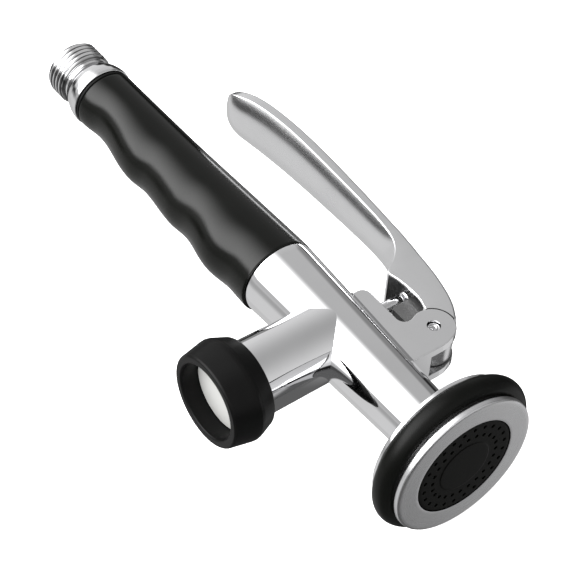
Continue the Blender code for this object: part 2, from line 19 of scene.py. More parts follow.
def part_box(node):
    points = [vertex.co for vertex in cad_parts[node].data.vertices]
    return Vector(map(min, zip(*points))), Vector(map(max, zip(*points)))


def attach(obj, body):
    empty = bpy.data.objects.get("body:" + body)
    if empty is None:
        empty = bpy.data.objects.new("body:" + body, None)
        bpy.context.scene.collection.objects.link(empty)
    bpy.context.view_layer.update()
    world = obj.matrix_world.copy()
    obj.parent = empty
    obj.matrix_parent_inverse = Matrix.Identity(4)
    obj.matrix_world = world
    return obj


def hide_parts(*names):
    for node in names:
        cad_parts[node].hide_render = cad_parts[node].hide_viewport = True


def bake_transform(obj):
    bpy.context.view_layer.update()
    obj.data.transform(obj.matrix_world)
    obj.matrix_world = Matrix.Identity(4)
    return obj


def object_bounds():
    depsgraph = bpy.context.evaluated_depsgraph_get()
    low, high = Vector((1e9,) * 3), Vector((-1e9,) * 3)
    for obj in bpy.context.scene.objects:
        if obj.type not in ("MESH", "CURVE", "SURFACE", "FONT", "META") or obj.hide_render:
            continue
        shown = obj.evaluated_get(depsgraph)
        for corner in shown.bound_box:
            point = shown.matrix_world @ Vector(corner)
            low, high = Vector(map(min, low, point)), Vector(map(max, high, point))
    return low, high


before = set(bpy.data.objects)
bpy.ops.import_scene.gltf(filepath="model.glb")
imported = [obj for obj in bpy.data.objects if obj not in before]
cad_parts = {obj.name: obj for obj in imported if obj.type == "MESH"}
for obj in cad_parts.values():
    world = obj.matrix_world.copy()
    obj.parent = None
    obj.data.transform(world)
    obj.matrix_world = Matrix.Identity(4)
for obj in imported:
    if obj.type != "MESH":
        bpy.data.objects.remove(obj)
CAD_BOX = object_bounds()

LOG = logging.getLogger("bath_sprayer")
MM = 0.001
MERGE = 0.00001              # merge distance in millimetre meshes
FULL_TURN = math.tau
PIN = (19.5, 24.0)            # where the lever's pin crosses the middle plane
PIN_BORE = ((-15.0, 0.0), (-15.0, 2.3), (15.0, 2.3), (15.0, 0.0))
Knot = tuple[float, ...]
Outline = Sequence[Knot]
Point = tuple[float, float]
Colour = tuple[float, float, float]
Solid = bmesh.types.BMesh
Socket = bpy.types.NodeSocket


def barrel_origin() -> Vector:
    """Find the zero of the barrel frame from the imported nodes.

    Returns:
        The point where the barrel's axis crosses the valve's axis, in metres.
    """
    plate_low, plate_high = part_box("face_plate")
    stem_low, stem_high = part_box("spindle")
    plate, stem = (plate_low + plate_high) / 2.0, (stem_low + stem_high) / 2.0
    return Vector((stem.x, plate.y, plate.z))


ORIGIN = barrel_origin()


class Axis(Enum):
    """The lines that turned pieces are turned about."""

    BARREL = "barrel"
    STUB = "stub"
    PIN = "pin"

    def point(self, along: float, radius: float) -> Vector:
        """Give the starting point of an outline point (along, radius)."""
        if self is Axis.BARREL:
            return Vector((along, radius, 0.0))
        if self is Axis.STUB:
            return Vector((radius, -along, 0.0))
        return Vector((radius, 0.0, along))

    def direction(self) -> Vector:
        """Give the axis's own direction."""
        return {
            Axis.BARREL: Vector((1.0, 0.0, 0.0)),
            Axis.STUB: Vector((0.0, -1.0, 0.0)),
            Axis.PIN: Vector((0.0, 0.0, 1.0)),
        }[self]


# ---------- outlines and curves
def rounded(corners: Outline, steps: int = 4, closed: bool = False) -> list[Point]:
    """Round the corners of an outline.

    Args:
        corners: Points (u, v) or (u, v, radius of the rounding).
        steps: Number of straight pieces in each rounding.
        closed: Whether the last point joins the first.

    Returns:
        The outline's points, with each rounding as an arc.
    """
    points: list[Point] = []
    last = len(corners) - 1
    for i, corner in enumerate(corners):
        here = Vector(corner[:2])
        radius = corner[2] if len(corner) > 2 else 0.0
        if radius <= 0.0 or (not closed and i in (0, last)):
            points.append((here.x, here.y))
            continue
        back = Vector(corners[i - 1][:2]) - here
        ahead = Vector(corners[(i + 1) % len(corners)][:2]) - here
        half = back.angle(ahead) / 2.0
        reach = min(radius / math.tan(half), 0.49 * back.length, 0.49 * ahead.length)
        radius = reach * math.tan(half)
        centre = here + (back.normalized() + ahead.normalized()).normalized() * radius / math.sin(half)
        first = here + back.normalized() * reach - centre
        second = here + ahead.normalized() * reach - centre
        start = math.atan2(first.y, first.x)
        sweep = math.atan2(second.y, second.x) - start
        sweep = (sweep + math.pi) % FULL_TURN - math.pi
        for step in range(steps + 1):
            angle = start + sweep * step / steps
            points.append((centre.x + radius * math.cos(angle), centre.y + radius * math.sin(angle)))
    return points


def arc(centre: Point, radius: float, start: float, end: float, steps: int) -> list[Point]:
    """Give the points of an arc whose angles are in degrees."""
    angles = (math.radians(start + (end - start) * step / steps) for step in range(steps + 1))
    return [(centre[0] + radius * math.cos(a), centre[1] + radius * math.sin(a)) for a in angles]


def finer(outline: Sequence[Point], longest: float) -> list[Point]:
    """Split an outline's long straight pieces so that none is longer than a length."""
    points = [outline[0]]
    for (u0, v0), (u1, v1) in zip(outline, outline[1:]):
        parts = max(1, math.ceil(math.hypot(u1 - u0, v1 - v0) / longest))
        points += [(u0 + (u1 - u0) * i / parts, v0 + (v1 - v0) * i / parts) for i in range(1, parts + 1)]
    return points


def ramp(value: float, width: float) -> float:
    """Rise from 0 to 1 while a value runs from zero to a width."""
    return min(max(value / width, 0.0), 1.0)


def curve_at(x: float, knots: Sequence[Knot], column: int = 1) -> float:
    """Read a smooth curve through knots.

    Args:
        x: Where to read the curve.
        knots: Rows that start with their x.
        column: Which value of each row is read.

    Returns:
        The value of the Catmull-Rom curve at x.
    """
    last = len(knots) - 1
    i = 0
    while i < last - 1 and x > knots[i + 1][0]:
        i += 1
    x0, v0, x1, v1 = knots[i][0], knots[i][column], knots[i + 1][0], knots[i + 1][column]
    before, after = knots[max(i - 1, 0)], knots[min(i + 2, last)]
    slope0 = (v1 - before[column]) / (x1 - before[0])
    slope1 = (after[column] - v0) / (after[0] - x0)
    width = x1 - x0
    t = ramp(x - x0, width)
    return ((2 * t**3 - 3 * t**2 + 1) * v0 + (t**3 - 2 * t**2 + t) * width * slope0
            + (-2 * t**3 + 3 * t**2) * v1 + (t**3 - t**2) * width * slope1)


def wave_at(x: float, knots: Sequence[Knot]) -> float:
    """Read a wave whose crests and troughs are the knots."""
    if x <= knots[0][0]:
        return knots[0][1]
    for (x0, v0), (x1, v1) in zip(knots, knots[1:]):
        if x <= x1:
            return v0 + (v1 - v0) * (1.0 - math.cos(math.pi * (x - x0) / (x1 - x0))) / 2.0
    return knots[-1][1]


# ---------- mesh building
def turned(outline: Outline, axis: Axis, segments: int = 128, closed: bool = True) -> Solid:
    """Spin an outline into a solid.

    Args:
        outline: Points (along, radius).
        axis: The line it is turned about.
        segments: Steps of the full turn.
        closed: Whether the outline's ends join; an outline that ends on the axis isn't closed.

    Returns:
        A bmesh in the barrel frame, in millimetres.
    """
    bm = bmesh.new()
    verts = [bm.verts.new(axis.point(point[0], point[1])) for point in outline]
    for first, second in zip(verts, verts[1:]):
        bm.edges.new((first, second))
    if closed:
        bm.edges.new((verts[-1], verts[0]))
    bmesh.ops.spin(
        bm, geom=bm.verts[:] + bm.edges[:], cent=(0.0, 0.0, 0.0), axis=axis.direction(),
        dvec=(0.0, 0.0, 0.0), angle=FULL_TURN, steps=segments, use_merge=True, use_duplicate=False,
    )
    settle(bm)
    return bm


def settle(bm: Solid) -> None:
    """Merge a bmesh's doubles and turn its faces outwards."""
    bmesh.ops.remove_doubles(bm, verts=bm.verts, dist=MERGE)
    bmesh.ops.recalc_face_normals(bm, faces=bm.faces)


def grow_ring(bm: Solid, ring: list[bmesh.types.BMVert],
              places: Sequence[Vector]) -> list[bmesh.types.BMVert]:
    """Extrude a closed ring of vertices and move the new ring onto its places.

    Args:
        bm: The bmesh that is grown.
        ring: The last ring.
        places: A place for each vertex of the new ring, in the old ring's order.

    Returns:
        The new ring, in the old ring's order.
    """
    edges = [bm.edges.get((a, b)) for a, b in zip(ring, ring[1:] + ring[:1])]
    made = bmesh.ops.extrude_edge_only(bm, edges=edges)["geom"]
    fresh = {item for item in made if isinstance(item, bmesh.types.BMVert)}
    grown = [next(e.other_vert(v) for e in v.link_edges if e.other_vert(v) in fresh) for v in ring]
    for vert, place in zip(grown, places):
        vert.co = place
    return grown


def through_rings(rings: Sequence[Sequence[Vector]], joined_ends: bool) -> Solid:
    """Make a solid through rings of points.

    Args:
        rings: Closed rings with the same number of points.
        joined_ends: Whether the last ring joins the first; otherwise both ends are capped.

    Returns:
        A bmesh in millimetres.
    """
    bm = bmesh.new()
    first = [bm.verts.new(point) for point in rings[0]]
    for a, b in zip(first, first[1:] + first[:1]):
        bm.edges.new((a, b))
    ring = first
    for places in rings[1:]:
        ring = grow_ring(bm, ring, places)
    loops = [[bm.edges.get((a, b)) for a, b in zip(r, r[1:] + r[:1])] for r in (first, ring)]
    if joined_ends:
        bmesh.ops.bridge_loops(bm, edges=loops[0] + loops[1])
    else:
        for loop in loops:
            bmesh.ops.contextual_create(bm, geom=loop)
    settle(bm)
    return bm


def outline_prism(outline: Outline, half: float, edge: float) -> Solid:
    """Extrude a flat outline along Z and round its two outer edges.

    Args:
        outline: Points (x, y).
        half: Half the thickness.
        edge: Radius of the rounding between the sides and the faces.

    Returns:
        A bmesh in millimetres.
    """
    bm = bmesh.new()
    face = bm.faces.new([bm.verts.new((point[0], point[1], -half)) for point in outline])
    lifted = bmesh.ops.extrude_face_region(bm, geom=[face], use_keep_orig=True)["geom"]
    raised = [item for item in lifted if isinstance(item, bmesh.types.BMVert)]
    bmesh.ops.translate(bm, verts=raised, vec=(0.0, 0.0, 2.0 * half))
    bmesh.ops.recalc_face_normals(bm, faces=bm.faces)
    if edge > 0.0:
        rims = [e for e in bm.edges if abs(e.verts[0].co.z - e.verts[1].co.z) < MERGE]
        bmesh.ops.bevel(bm, geom=rims, offset=edge, segments=4, profile=0.5, affect="EDGES",
                        clamp_overlap=True, material=-1)
    return bm


def on_pin(outline: Outline, segments: int) -> Solid:
    """Turn an outline about the lever's pin."""
    bm = turned(outline, Axis.PIN, segments, closed=False)
    bmesh.ops.translate(bm, verts=bm.verts, vec=(*PIN, 0.0))
    return bm


def angles_round(sides: int) -> list[float]:
    """Give the angles of a ring's points."""
    return [FULL_TURN * side / sides for side in range(sides)]


def ring_at(x: float, radii: Sequence[float]) -> list[Vector]:
    """Place a ring of points round the barrel's axis, one for each radius."""
    return [Vector((x, radius * math.cos(a), radius * math.sin(a)))
            for radius, a in zip(radii, angles_round(len(radii)))]


def mesh_of(name: str, bm: Solid) -> bpy.types.Mesh:
    """Turn a bmesh into a mesh and free the bmesh."""
    mesh = bpy.data.meshes.new(name)
    bm.to_mesh(mesh)
    bm.free()
    return mesh


def placed(name: str, data: bpy.types.ID) -> bpy.types.Object:
    """Make an object and link it to the scene."""
    item = bpy.data.objects.new(name, data)
    bpy.context.scene.collection.objects.link(item)
    return item


def combined(base: Solid, tools: Iterable[tuple[Solid, str]], solver: str = "EXACT") -> Solid:
    """Join tools to a solid, or cut it with them.

    Args:
        base: The solid that is changed.
        tools: Pairs of a solid and UNION or DIFFERENCE.
        solver: EXACT or MANIFOLD.

    Returns:
        The changed solid.
    """
    item = placed("work", mesh_of("work", base))
    helpers = []
    for tool, operation in tools:
        helper = placed("work_tool", mesh_of("work_tool", tool))
        helpers.append(helper)
        change = item.modifiers.new("change", "BOOLEAN")
        change.operation = operation
        change.object = helper
        change.solver = solver
    graph = bpy.context.evaluated_depsgraph_get()
    result = bpy.data.meshes.new_from_object(item.evaluated_get(graph))
    for used in [item] + helpers:
        bpy.data.objects.remove(used, do_unlink=True)
    bm = bmesh.new()
    bm.from_mesh(result)
    bpy.data.meshes.remove(result)
    bmesh.ops.remove_doubles(bm, verts=bm.verts, dist=MERGE)
    return bm


def in_barrel_frame(point: Vector) -> Vector:
    """Give a point of the row frame in millimetres of the barrel frame."""
    return (point - ORIGIN) / MM


def paint_recess_shade(item: bpy.types.Object, finish: "Finish", inside: Callable[[Vector], bool]) -> None:
    """Paint shade into a piece's recess by giving its faces there a darker finish.

    Args:
        item: The finished piece.
        finish: The darker finish that paints the recess's shade.
        inside: Tells whether a face's centre, in the barrel frame, lies in the recess.
    """
    item.data.materials.append(finish.material())
    for polygon in item.data.polygons:
        if inside(in_barrel_frame(polygon.center)):
            polygon.material_index = 1


def set_true_normals(item: bpy.types.Object,
                     rule: Callable[[Sequence[Vector], Vector, float], Sequence[Vector] | None]) -> None:
    """Give a piece's faces the normals of the ideal surfaces that they lie on.

    Args:
        item: The finished piece.
        rule: Takes a face's corners in the barrel frame, its normal and its area in square
            millimetres, and gives the corners' normals, or None to leave the face as it is.
    """
    mesh = item.data
    normals = [Vector((0.0, 0.0, 0.0))] * len(mesh.loops)
    for polygon in mesh.polygons:
        corners = [in_barrel_frame(mesh.vertices[i].co) for i in polygon.vertices]
        chosen = rule(corners, polygon.normal.copy(), polygon.area / MM**2)
        for loop, normal in zip(polygon.loop_indices, chosen or ()):
            normals[loop] = normal
    mesh.normals_split_custom_set(normals)


def finished(name: str, bm: Solid, finish: "Finish", body: str | None, node: str,
             crease: float = 38.0) -> bpy.types.Object:
    """Put a solid in its place in the row frame and dress it.

    Args:
        name: Name of the new piece.
        bm: The solid, in millimetres in the barrel frame.
        finish: The finish it takes.
        body: The CAD body it rides on, or None for a piece that is put on no body.
        node: The CAD node that it stands for.
        crease: Angle in degrees past which an edge stays sharp.

    Returns:
        The finished object, at the origin.
    """
    bm.transform(Matrix.Translation(ORIGIN) @ Matrix.Scale(MM, 4))
    mesh = mesh_of(name, bm)
    mesh.shade_smooth()
    mesh.set_sharp_from_angle(angle=math.radians(crease))
    mesh.materials.append(finish.material())
    item = placed(name, mesh)
    if body is not None:
        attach(item, body)
    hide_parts(node)
    LOG.info("%s: %d faces on body %s", name, len(mesh.polygons), body)
    return item


# ---------- shader nodes
class Sketch:
    """A short way to write a node tree."""

    def __init__(self, tree: bpy.types.NodeTree) -> None:
        """Keep the tree that nodes are added to."""
        self.tree = tree

    def node(self, kind: str, **values: object) -> bpy.types.Node:
        """Add a node; values set its own properties."""
        made = self.tree.nodes.new(kind)
        for key, value in values.items():
            setattr(made, key, value)
        return made

    def feed(self, socket: Socket, value: object) -> None:
        """Link a socket to another, or set its plain value."""
        if isinstance(value, Socket):
            self.tree.links.new(value, socket)
        else:
            socket.default_value = value

    def math(self, operation: str, first: object, *others: object) -> Socket:
        """Run an operation over the values from left to right, and give the last output."""
        for second in others or (0.0,):
            made = self.node("ShaderNodeMath", operation=operation)
            self.feed(made.inputs[0], first)
            self.feed(made.inputs[1], second)
            first = made.outputs[0]
        return first

    def smooth(self, value: object, low: float, high: float, to_low: float = 0.0,
               to_high: float = 1.0) -> Socket:
        """Add a smooth step from low to high and give its output."""
        if low > high:
            low, high, to_low, to_high = high, low, to_high, to_low
        made = self.node("ShaderNodeMapRange", interpolation_type="SMOOTHSTEP")
        self.feed(made.inputs["Value"], value)
        for label, number in (("From Min", low), ("From Max", high), ("To Min", to_low), ("To Max", to_high)):
            made.inputs[label].default_value = number
        return made.outputs["Result"]

    def blend(self, factor: object, first: object, second: object) -> Socket:
        """Mix two numbers."""
        made = self.node("ShaderNodeMix", data_type="FLOAT")
        self.feed(made.inputs[0], factor)
        self.feed(made.inputs[2], first)
        self.feed(made.inputs[3], second)
        return made.outputs[0]

    def tint(self, factor: object, first: object, second: object) -> Socket:
        """Mix two colours."""
        made = self.node("ShaderNodeMix", data_type="RGBA")
        self.feed(made.inputs[0], factor)
        self.feed(made.inputs[6], first)
        self.feed(made.inputs[7], second)
        return made.outputs[2]

    def noise(self, where: object, scale: object, detail: float = 3.0, roughness: float = 0.5) -> Socket:
        """Add a Noise texture and give its value."""
        made = self.node("ShaderNodeTexNoise")
        self.feed(made.inputs["Vector"], where)
        self.feed(made.inputs["Scale"], scale)
        made.inputs["Detail"].default_value = detail
        made.inputs["Roughness"].default_value = roughness
        return made.outputs["Fac"]


class SharedEffects:
    """Node groups that several finishes use, each built once."""

    made: dict[str, bpy.types.NodeTree] = {}

    @classmethod
    def group(cls, name: str, inputs: Sequence[tuple[str, str]], outputs: Sequence[tuple[str, str]],
              build: Callable[[Sketch, bpy.types.Node, bpy.types.Node], None]) -> bpy.types.NodeTree:
        """Give a shared node group, built the first time.

        Args:
            name: The group's name.
            inputs: Pairs of name and socket type.
            outputs: Pairs of name and socket type.
            build: Fills the group from its sketch, input node and output node.

        Returns:
            The node group.
        """
        if name not in cls.made:
            tree = bpy.data.node_groups.new(name, "ShaderNodeTree")
            for side, sockets in (("INPUT", inputs), ("OUTPUT", outputs)):
                for label, kind in sockets:
                    tree.interface.new_socket(label, in_out=side, socket_type=kind)
            sketch = Sketch(tree)
            build(sketch, sketch.node("NodeGroupInput"), sketch.node("NodeGroupOutput"))
            cls.made[name] = tree
        return cls.made[name]

    @classmethod
    def handling(cls) -> bpy.types.NodeTree:
        """Faint handling marks: a cloudy mask and a fine grain from one place vector."""
        def build(sketch: Sketch, start: bpy.types.Node, end: bpy.types.Node) -> None:
            """Fill the group."""
            clouds = sketch.noise(start.outputs["Place"], start.outputs["Cloud Scale"], 4.0, 0.6)
            grain = sketch.noise(start.outputs["Place"], start.outputs["Grain Scale"], 2.0, 0.5)
            sketch.feed(end.inputs["Clouds"], sketch.smooth(clouds, 0.35, 0.7))
            sketch.feed(end.inputs["Grain"], grain)
        return cls.group("handling_marks", [("Place", "NodeSocketVector"), ("Cloud Scale", "NodeSocketFloat"),
                                            ("Grain Scale", "NodeSocketFloat")],
                         [("Clouds", "NodeSocketFloat"), ("Grain", "NodeSocketFloat")], build)

    @classmethod
    def turning(cls) -> bpy.types.NodeTree:
        """Turned grain: fine rings round an axis through a centre, along one direction."""
        def build(sketch: Sketch, start: bpy.types.Node, end: bpy.types.Node) -> None:
            """Fill the group."""
            across = sketch.node("ShaderNodeVectorMath", operation="SUBTRACT")
            sketch.feed(across.inputs[0], start.outputs["Place"])
            sketch.feed(across.inputs[1], start.outputs["Centre"])
            flat = sketch.node("ShaderNodeVectorMath", operation="MULTIPLY")
            sketch.feed(flat.inputs[0], across.outputs[0])
            sketch.feed(flat.inputs[1], start.outputs["Across"])
            reach = sketch.node("ShaderNodeVectorMath", operation="LENGTH")
            sketch.feed(reach.inputs[0], flat.outputs[0])
            rings = sketch.node("ShaderNodeTexNoise", noise_dimensions="1D")
            turns = sketch.math("MULTIPLY", reach.outputs["Value"], start.outputs["Rings"])
            sketch.feed(rings.inputs["W"], turns)
            rings.inputs["Scale"].default_value = 1.0
            rings.inputs["Detail"].default_value = 3.0
            sketch.feed(end.inputs["Rings"], rings.outputs["Fac"])
        return cls.group("turned_grain", [("Place", "NodeSocketVector"), ("Centre", "NodeSocketVector"),
                                          ("Across", "NodeSocketVector"), ("Rings", "NodeSocketFloat")],
                         [("Rings", "NodeSocketFloat")], build)


class Finish:
    """A surface finish; it builds its material the first time a piece asks for it."""

    made: dict[str, bpy.types.Material] = {}
    label: str

    def dress(self, sketch: Sketch, shader: bpy.types.Node, place: Socket) -> None:
        """Wire the finish's own nodes into the shader."""
        raise NotImplementedError

    def material(self) -> bpy.types.Material:
        """Give the finish's material."""
        if self.label not in Finish.made:
            material = bpy.data.materials.new(self.label)
            material.use_nodes = True
            sketch = Sketch(material.node_tree)
            place = sketch.node("ShaderNodeTexCoord").outputs["Object"]
            self.dress(sketch, material.node_tree.nodes["Principled BSDF"], place)
            Finish.made[self.label] = material
        return Finish.made[self.label]

    @staticmethod
    def marks(sketch: Sketch, place: Socket, cloud: float, grain: float) -> bpy.types.Node:
        """Place the handling marks group with its scales per metre."""
        node = sketch.node("ShaderNodeGroup", node_tree=SharedEffects.handling())
        sketch.feed(node.inputs["Place"], place)
        node.inputs["Cloud Scale"].default_value = cloud
        node.inputs["Grain Scale"].default_value = grain
        return node

    @staticmethod
    def relief(sketch: Sketch, height: Socket, depth: float, strength: float,
               normal: Socket | None = None) -> Socket:
        """Turn a height into a normal; depth is in metres."""
        bump = sketch.node("ShaderNodeBump")
        bump.inputs["Strength"].default_value = strength
        bump.inputs["Distance"].default_value = depth
        sketch.feed(bump.inputs["Height"], height)
        if normal is not None:
            sketch.feed(bump.inputs["Normal"], normal)
        return bump.outputs["Normal"]

    @staticmethod
    def soft_edges(sketch: Sketch, radius: float) -> Socket:
        """Give a normal that rounds the edges by a radius in metres."""
        node = sketch.node("ShaderNodeBevel", samples=6)
        node.inputs["Radius"].default_value = radius
        return node.outputs["Normal"]


@dataclass(frozen=True)
class Plated(Finish):
    """Chrome plate, from a mirror to a satin one, over a cast or turned part."""

    label: str
    colour: Colour
    roughness: float
    cloudiness: float = 0.03      # roughness that the handling marks add
    edge: float = 0.00025         # radius that the plating gives to edges
    grain_depth: float = 0.0      # depth of the satin grain

    def dress(self, sketch: Sketch, shader: bpy.types.Node, place: Socket) -> None:
        """Wire the plate."""
        marks = self.marks(sketch, place, 45.0, 2600.0)
        rough = sketch.blend(marks.outputs["Clouds"], self.roughness, self.roughness + self.cloudiness)
        sketch.feed(shader.inputs["Roughness"], rough)
        dim = tuple(0.96 * value for value in self.colour)
        colour = sketch.tint(marks.outputs["Clouds"], (*self.colour, 1.0), (*dim, 1.0))
        sketch.feed(shader.inputs["Base Color"], colour)
        shader.inputs["Metallic"].default_value = 1.0
        normal = self.soft_edges(sketch, self.edge) if self.edge > 0.0 else None
        if self.grain_depth > 0.0:
            normal = self.relief(sketch, marks.outputs["Grain"], self.grain_depth, 0.25, normal)
        if normal is not None:
            sketch.feed(shader.inputs["Normal"], normal)


@dataclass(frozen=True)
class ThreadedPlate(Plated):
    """Chrome plate over a hose thread, with painted shade darkening the thread's valleys."""

    valley: float = 0.00985       # radius of the valleys, metres
    crest: float = 0.01038
    thread_end: float = -0.1452   # end of the thread along the barrel, metres
    soft_end: float = 0.0004      # half the length over which the valleys fade there
    valley_shade_share: float = 0.22    # brightness that the painted shade leaves in the valleys

    def dress(self, sketch: Sketch, shader: bpy.types.Node, place: Socket) -> None:
        """Wire the plate, then paint shade into the valleys."""
        super().dress(sketch, shader, place)
        split = sketch.node("ShaderNodeSeparateXYZ")
        sketch.feed(split.inputs[0], place)
        across = sketch.math("SUBTRACT", split.outputs[1], ORIGIN.y)
        up = sketch.math("SUBTRACT", split.outputs[2], ORIGIN.z)
        radius = sketch.math("SQRT", sketch.math("ADD", sketch.math("MULTIPLY", across, across),
                                                 sketch.math("MULTIPLY", up, up)))
        end = ORIGIN.x + self.thread_end
        # painted shade: the plate colour darkens as the radius drops towards the valleys, fading out at the
        # thread's end
        valley = sketch.math("MULTIPLY", sketch.smooth(radius, self.crest, self.valley),
                             sketch.smooth(split.outputs[0], end + self.soft_end, end - self.soft_end))
        plate = shader.inputs["Base Color"].links[0].from_socket
        dark = tuple(self.valley_shade_share * value for value in self.colour)
        sketch.feed(shader.inputs["Base Color"], sketch.tint(valley, plate, (*dark, 1.0)))


@dataclass(frozen=True)
class TurnedMetal(Finish):
    """Metal that shows the fine rings of the lathe round its axis."""

    label: str
    colour: Colour
    roughness: float
    centre: tuple[float, float, float]
    across: tuple[float, float, float]
    rings: float = 9000.0
    depth: float = 0.00002
    edge: float = 0.0002

    def dress(self, sketch: Sketch, shader: bpy.types.Node, place: Socket) -> None:
        """Wire the turned rings."""
        node = sketch.node("ShaderNodeGroup", node_tree=SharedEffects.turning())
        sketch.feed(node.inputs["Place"], place)
        node.inputs["Centre"].default_value = self.centre
        node.inputs["Across"].default_value = self.across
        node.inputs["Rings"].default_value = self.rings
        rings = node.outputs["Rings"]
        marks = self.marks(sketch, place, 60.0, 2500.0)
        turned_rough = sketch.smooth(rings, 0.3, 0.7, self.roughness - 0.04, self.roughness + 0.05)
        rough = sketch.math("ADD", turned_rough, sketch.math("MULTIPLY", marks.outputs["Clouds"], 0.03))
        sketch.feed(shader.inputs["Roughness"], rough)
        bright = tuple(min(1.0, 1.05 * value) for value in self.colour)
        sketch.feed(shader.inputs["Base Color"], sketch.tint(rings, (*self.colour, 1.0), (*bright, 1.0)))
        shader.inputs["Metallic"].default_value = 1.0
        normal = self.relief(sketch, rings, self.depth, 0.18, self.soft_edges(sketch, self.edge))
        sketch.feed(shader.inputs["Normal"], normal)


@dataclass(frozen=True)
class Moulded(Finish):
    """Moulded plastic or rubber with a fine grain."""

    label: str
    colour: Colour
    worn: Colour
    roughness: float
    spread: float = 0.06          # roughness that the clouds add
    grain: float = 1500.0         # grain patches in a metre
    depth: float = 0.00004
    specular: float = 0.5
    edge: float = 0.0002

    def dress(self, sketch: Sketch, shader: bpy.types.Node, place: Socket) -> None:
        """Wire the moulded skin."""
        marks = self.marks(sketch, place, 38.0, self.grain)
        sketch.feed(shader.inputs["Base Color"],
                    sketch.tint(marks.outputs["Clouds"], (*self.colour, 1.0), (*self.worn, 1.0)))
        rough = sketch.blend(marks.outputs["Clouds"], self.roughness, self.roughness + self.spread)
        fine = sketch.math("MULTIPLY", marks.outputs["Grain"], 0.05)
        sketch.feed(shader.inputs["Roughness"], sketch.math("ADD", rough, fine))
        shader.inputs["Specular IOR Level"].default_value = self.specular
        soft = self.soft_edges(sketch, self.edge)
        normal = self.relief(sketch, marks.outputs["Grain"], self.depth, 0.3, soft)
        sketch.feed(shader.inputs["Normal"], normal)


STUB_CENTRE = (ORIGIN.x, 0.0, ORIGIN.z)
BARREL_CENTRE = (0.0, ORIGIN.y, ORIGIN.z)
ACROSS_STUB = (1.0, 0.0, 1.0)
ACROSS_BARREL = (0.0, 1.0, 1.0)

BODY_CHROME = Plated("body_mirror_chrome", (0.90, 0.90, 0.91), 0.035, 0.02, 0.0)
# painted shade: the slot's walls and floor take a dark, dull plate that stands in for the shade inside the
# slot
SLOT_SHADE_CHROME = Plated("slot_dull_painted_shade_chrome", (0.22, 0.22, 0.22), 0.42, 0.05, 0.0)
NIPPLE_CHROME = ThreadedPlate("nipple_mirror_chrome", (0.86, 0.86, 0.87), 0.08, 0.04, 0.0)
FLANGE_CHROME = Plated("flange_mirror_chrome", (0.90, 0.90, 0.91), 0.04, 0.02, 0.0)
LEVER_CHROME = Plated("lever_satin_chrome", (0.88, 0.88, 0.89), 0.25, 0.03, 0.0, 0.000006)
# painted shade: the lever's pocket and the walls beside the ears take a dark, dull plate that stands in for
# shade in these recesses
POCKET_SHADE_CHROME = Plated("pocket_dull_painted_shade_chrome", (0.20, 0.20, 0.20), 0.45, 0.05, 0.0)
FACE_CHROME = TurnedMetal("face_satin_chrome", (0.74, 0.74, 0.75), 0.27, BARREL_CENTRE, ACROSS_BARREL)
STEM_STEEL = TurnedMetal("stem_polished_steel", (0.78, 0.78, 0.79), 0.14, STUB_CENTRE, ACROSS_STUB,
                         5000.0, 0.00001)
PIN_STEEL = Plated("pin_ground_steel", (0.56, 0.56, 0.57), 0.2, 0.06, 0.0001, 0.00001)
SPRING_STEEL = Plated("spring_steel", (0.60, 0.60, 0.60), 0.24, 0.08, 0.00005)
FILTER_STEEL = Plated("filter_steel", (0.66, 0.66, 0.66), 0.28, 0.08, 0.00005, 0.00001)
BRASS = TurnedMetal("turned_brass", (0.78, 0.56, 0.26), 0.24, STUB_CENTRE, ACROSS_STUB)
TUBE_BRASS = TurnedMetal("drawn_brass", (0.76, 0.55, 0.26), 0.28, BARREL_CENTRE, ACROSS_BARREL, 2500.0)
PLUG_PLASTIC = Moulded("plug_pale_plastic", (0.38, 0.38, 0.37), (0.35, 0.35, 0.34), 0.4, 0.05, 1700.0,
                       0.00002, 0.2)
GRIP_PLASTIC = Moulded("grip_satin_plastic", (0.0022, 0.0024, 0.0019), (0.003, 0.0032, 0.0026), 0.13, 0.04,
                       specular=0.24)
INSERT_PLASTIC = Moulded("insert_plastic", (0.0012, 0.0012, 0.001), (0.002, 0.002, 0.0017), 0.3, 0.05,
                         specular=0.04)
BUMPER_RUBBER = Moulded("bumper_rubber", (0.002, 0.002, 0.002), (0.003, 0.003, 0.003), 0.32, 0.06, 1900.0,
                        0.00005, 0.12)
RING_RUBBER = Moulded("ring_rubber", (0.002, 0.0022, 0.0018), (0.003, 0.0032, 0.0027), 0.3, 0.06, 1900.0,
                      0.00005, 0.12)
SEAL_RUBBER = Moulded("seal_rubber", (0.003, 0.003, 0.003), (0.005, 0.005, 0.005), 0.5, 0.08, 2200.0,
                      0.00005, 0.15)
WHITE_PLASTIC = Moulded("white_acetal", (0.72, 0.72, 0.70), (0.66, 0.66, 0.63), 0.38, 0.06, 1700.0, 0.00003)

INNER_FINISHES: tuple[tuple[Finish, tuple[str, ...]], ...] = (
    (FILTER_STEEL, ("inlet_filter",)),
    (TUBE_BRASS, ("water_tube",)),
    (BRASS, ("valve_seat", "washer_holder", "spindle_nut")),
    (SEAL_RUBBER, ("tube_seal_rear", "tube_seal_front", "stem_o_ring_upper", "stem_o_ring_lower",
                   "valve_washer", "plug_seal", "hub_seal", "head_gasket")),
    (WHITE_PLASTIC, ("flow_restrictor", "diffuser")),
)


def dress_inner_nodes() -> None:
    """Give the pieces that stay hidden inside the sprayer their finishes."""
    for finish, names in INNER_FINISHES:
        for name in names:
            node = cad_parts[name]
            node.data.materials.clear()
            node.data.materials.append(finish.material())
            LOG.info("%s: inner node in %s", name, finish.label)


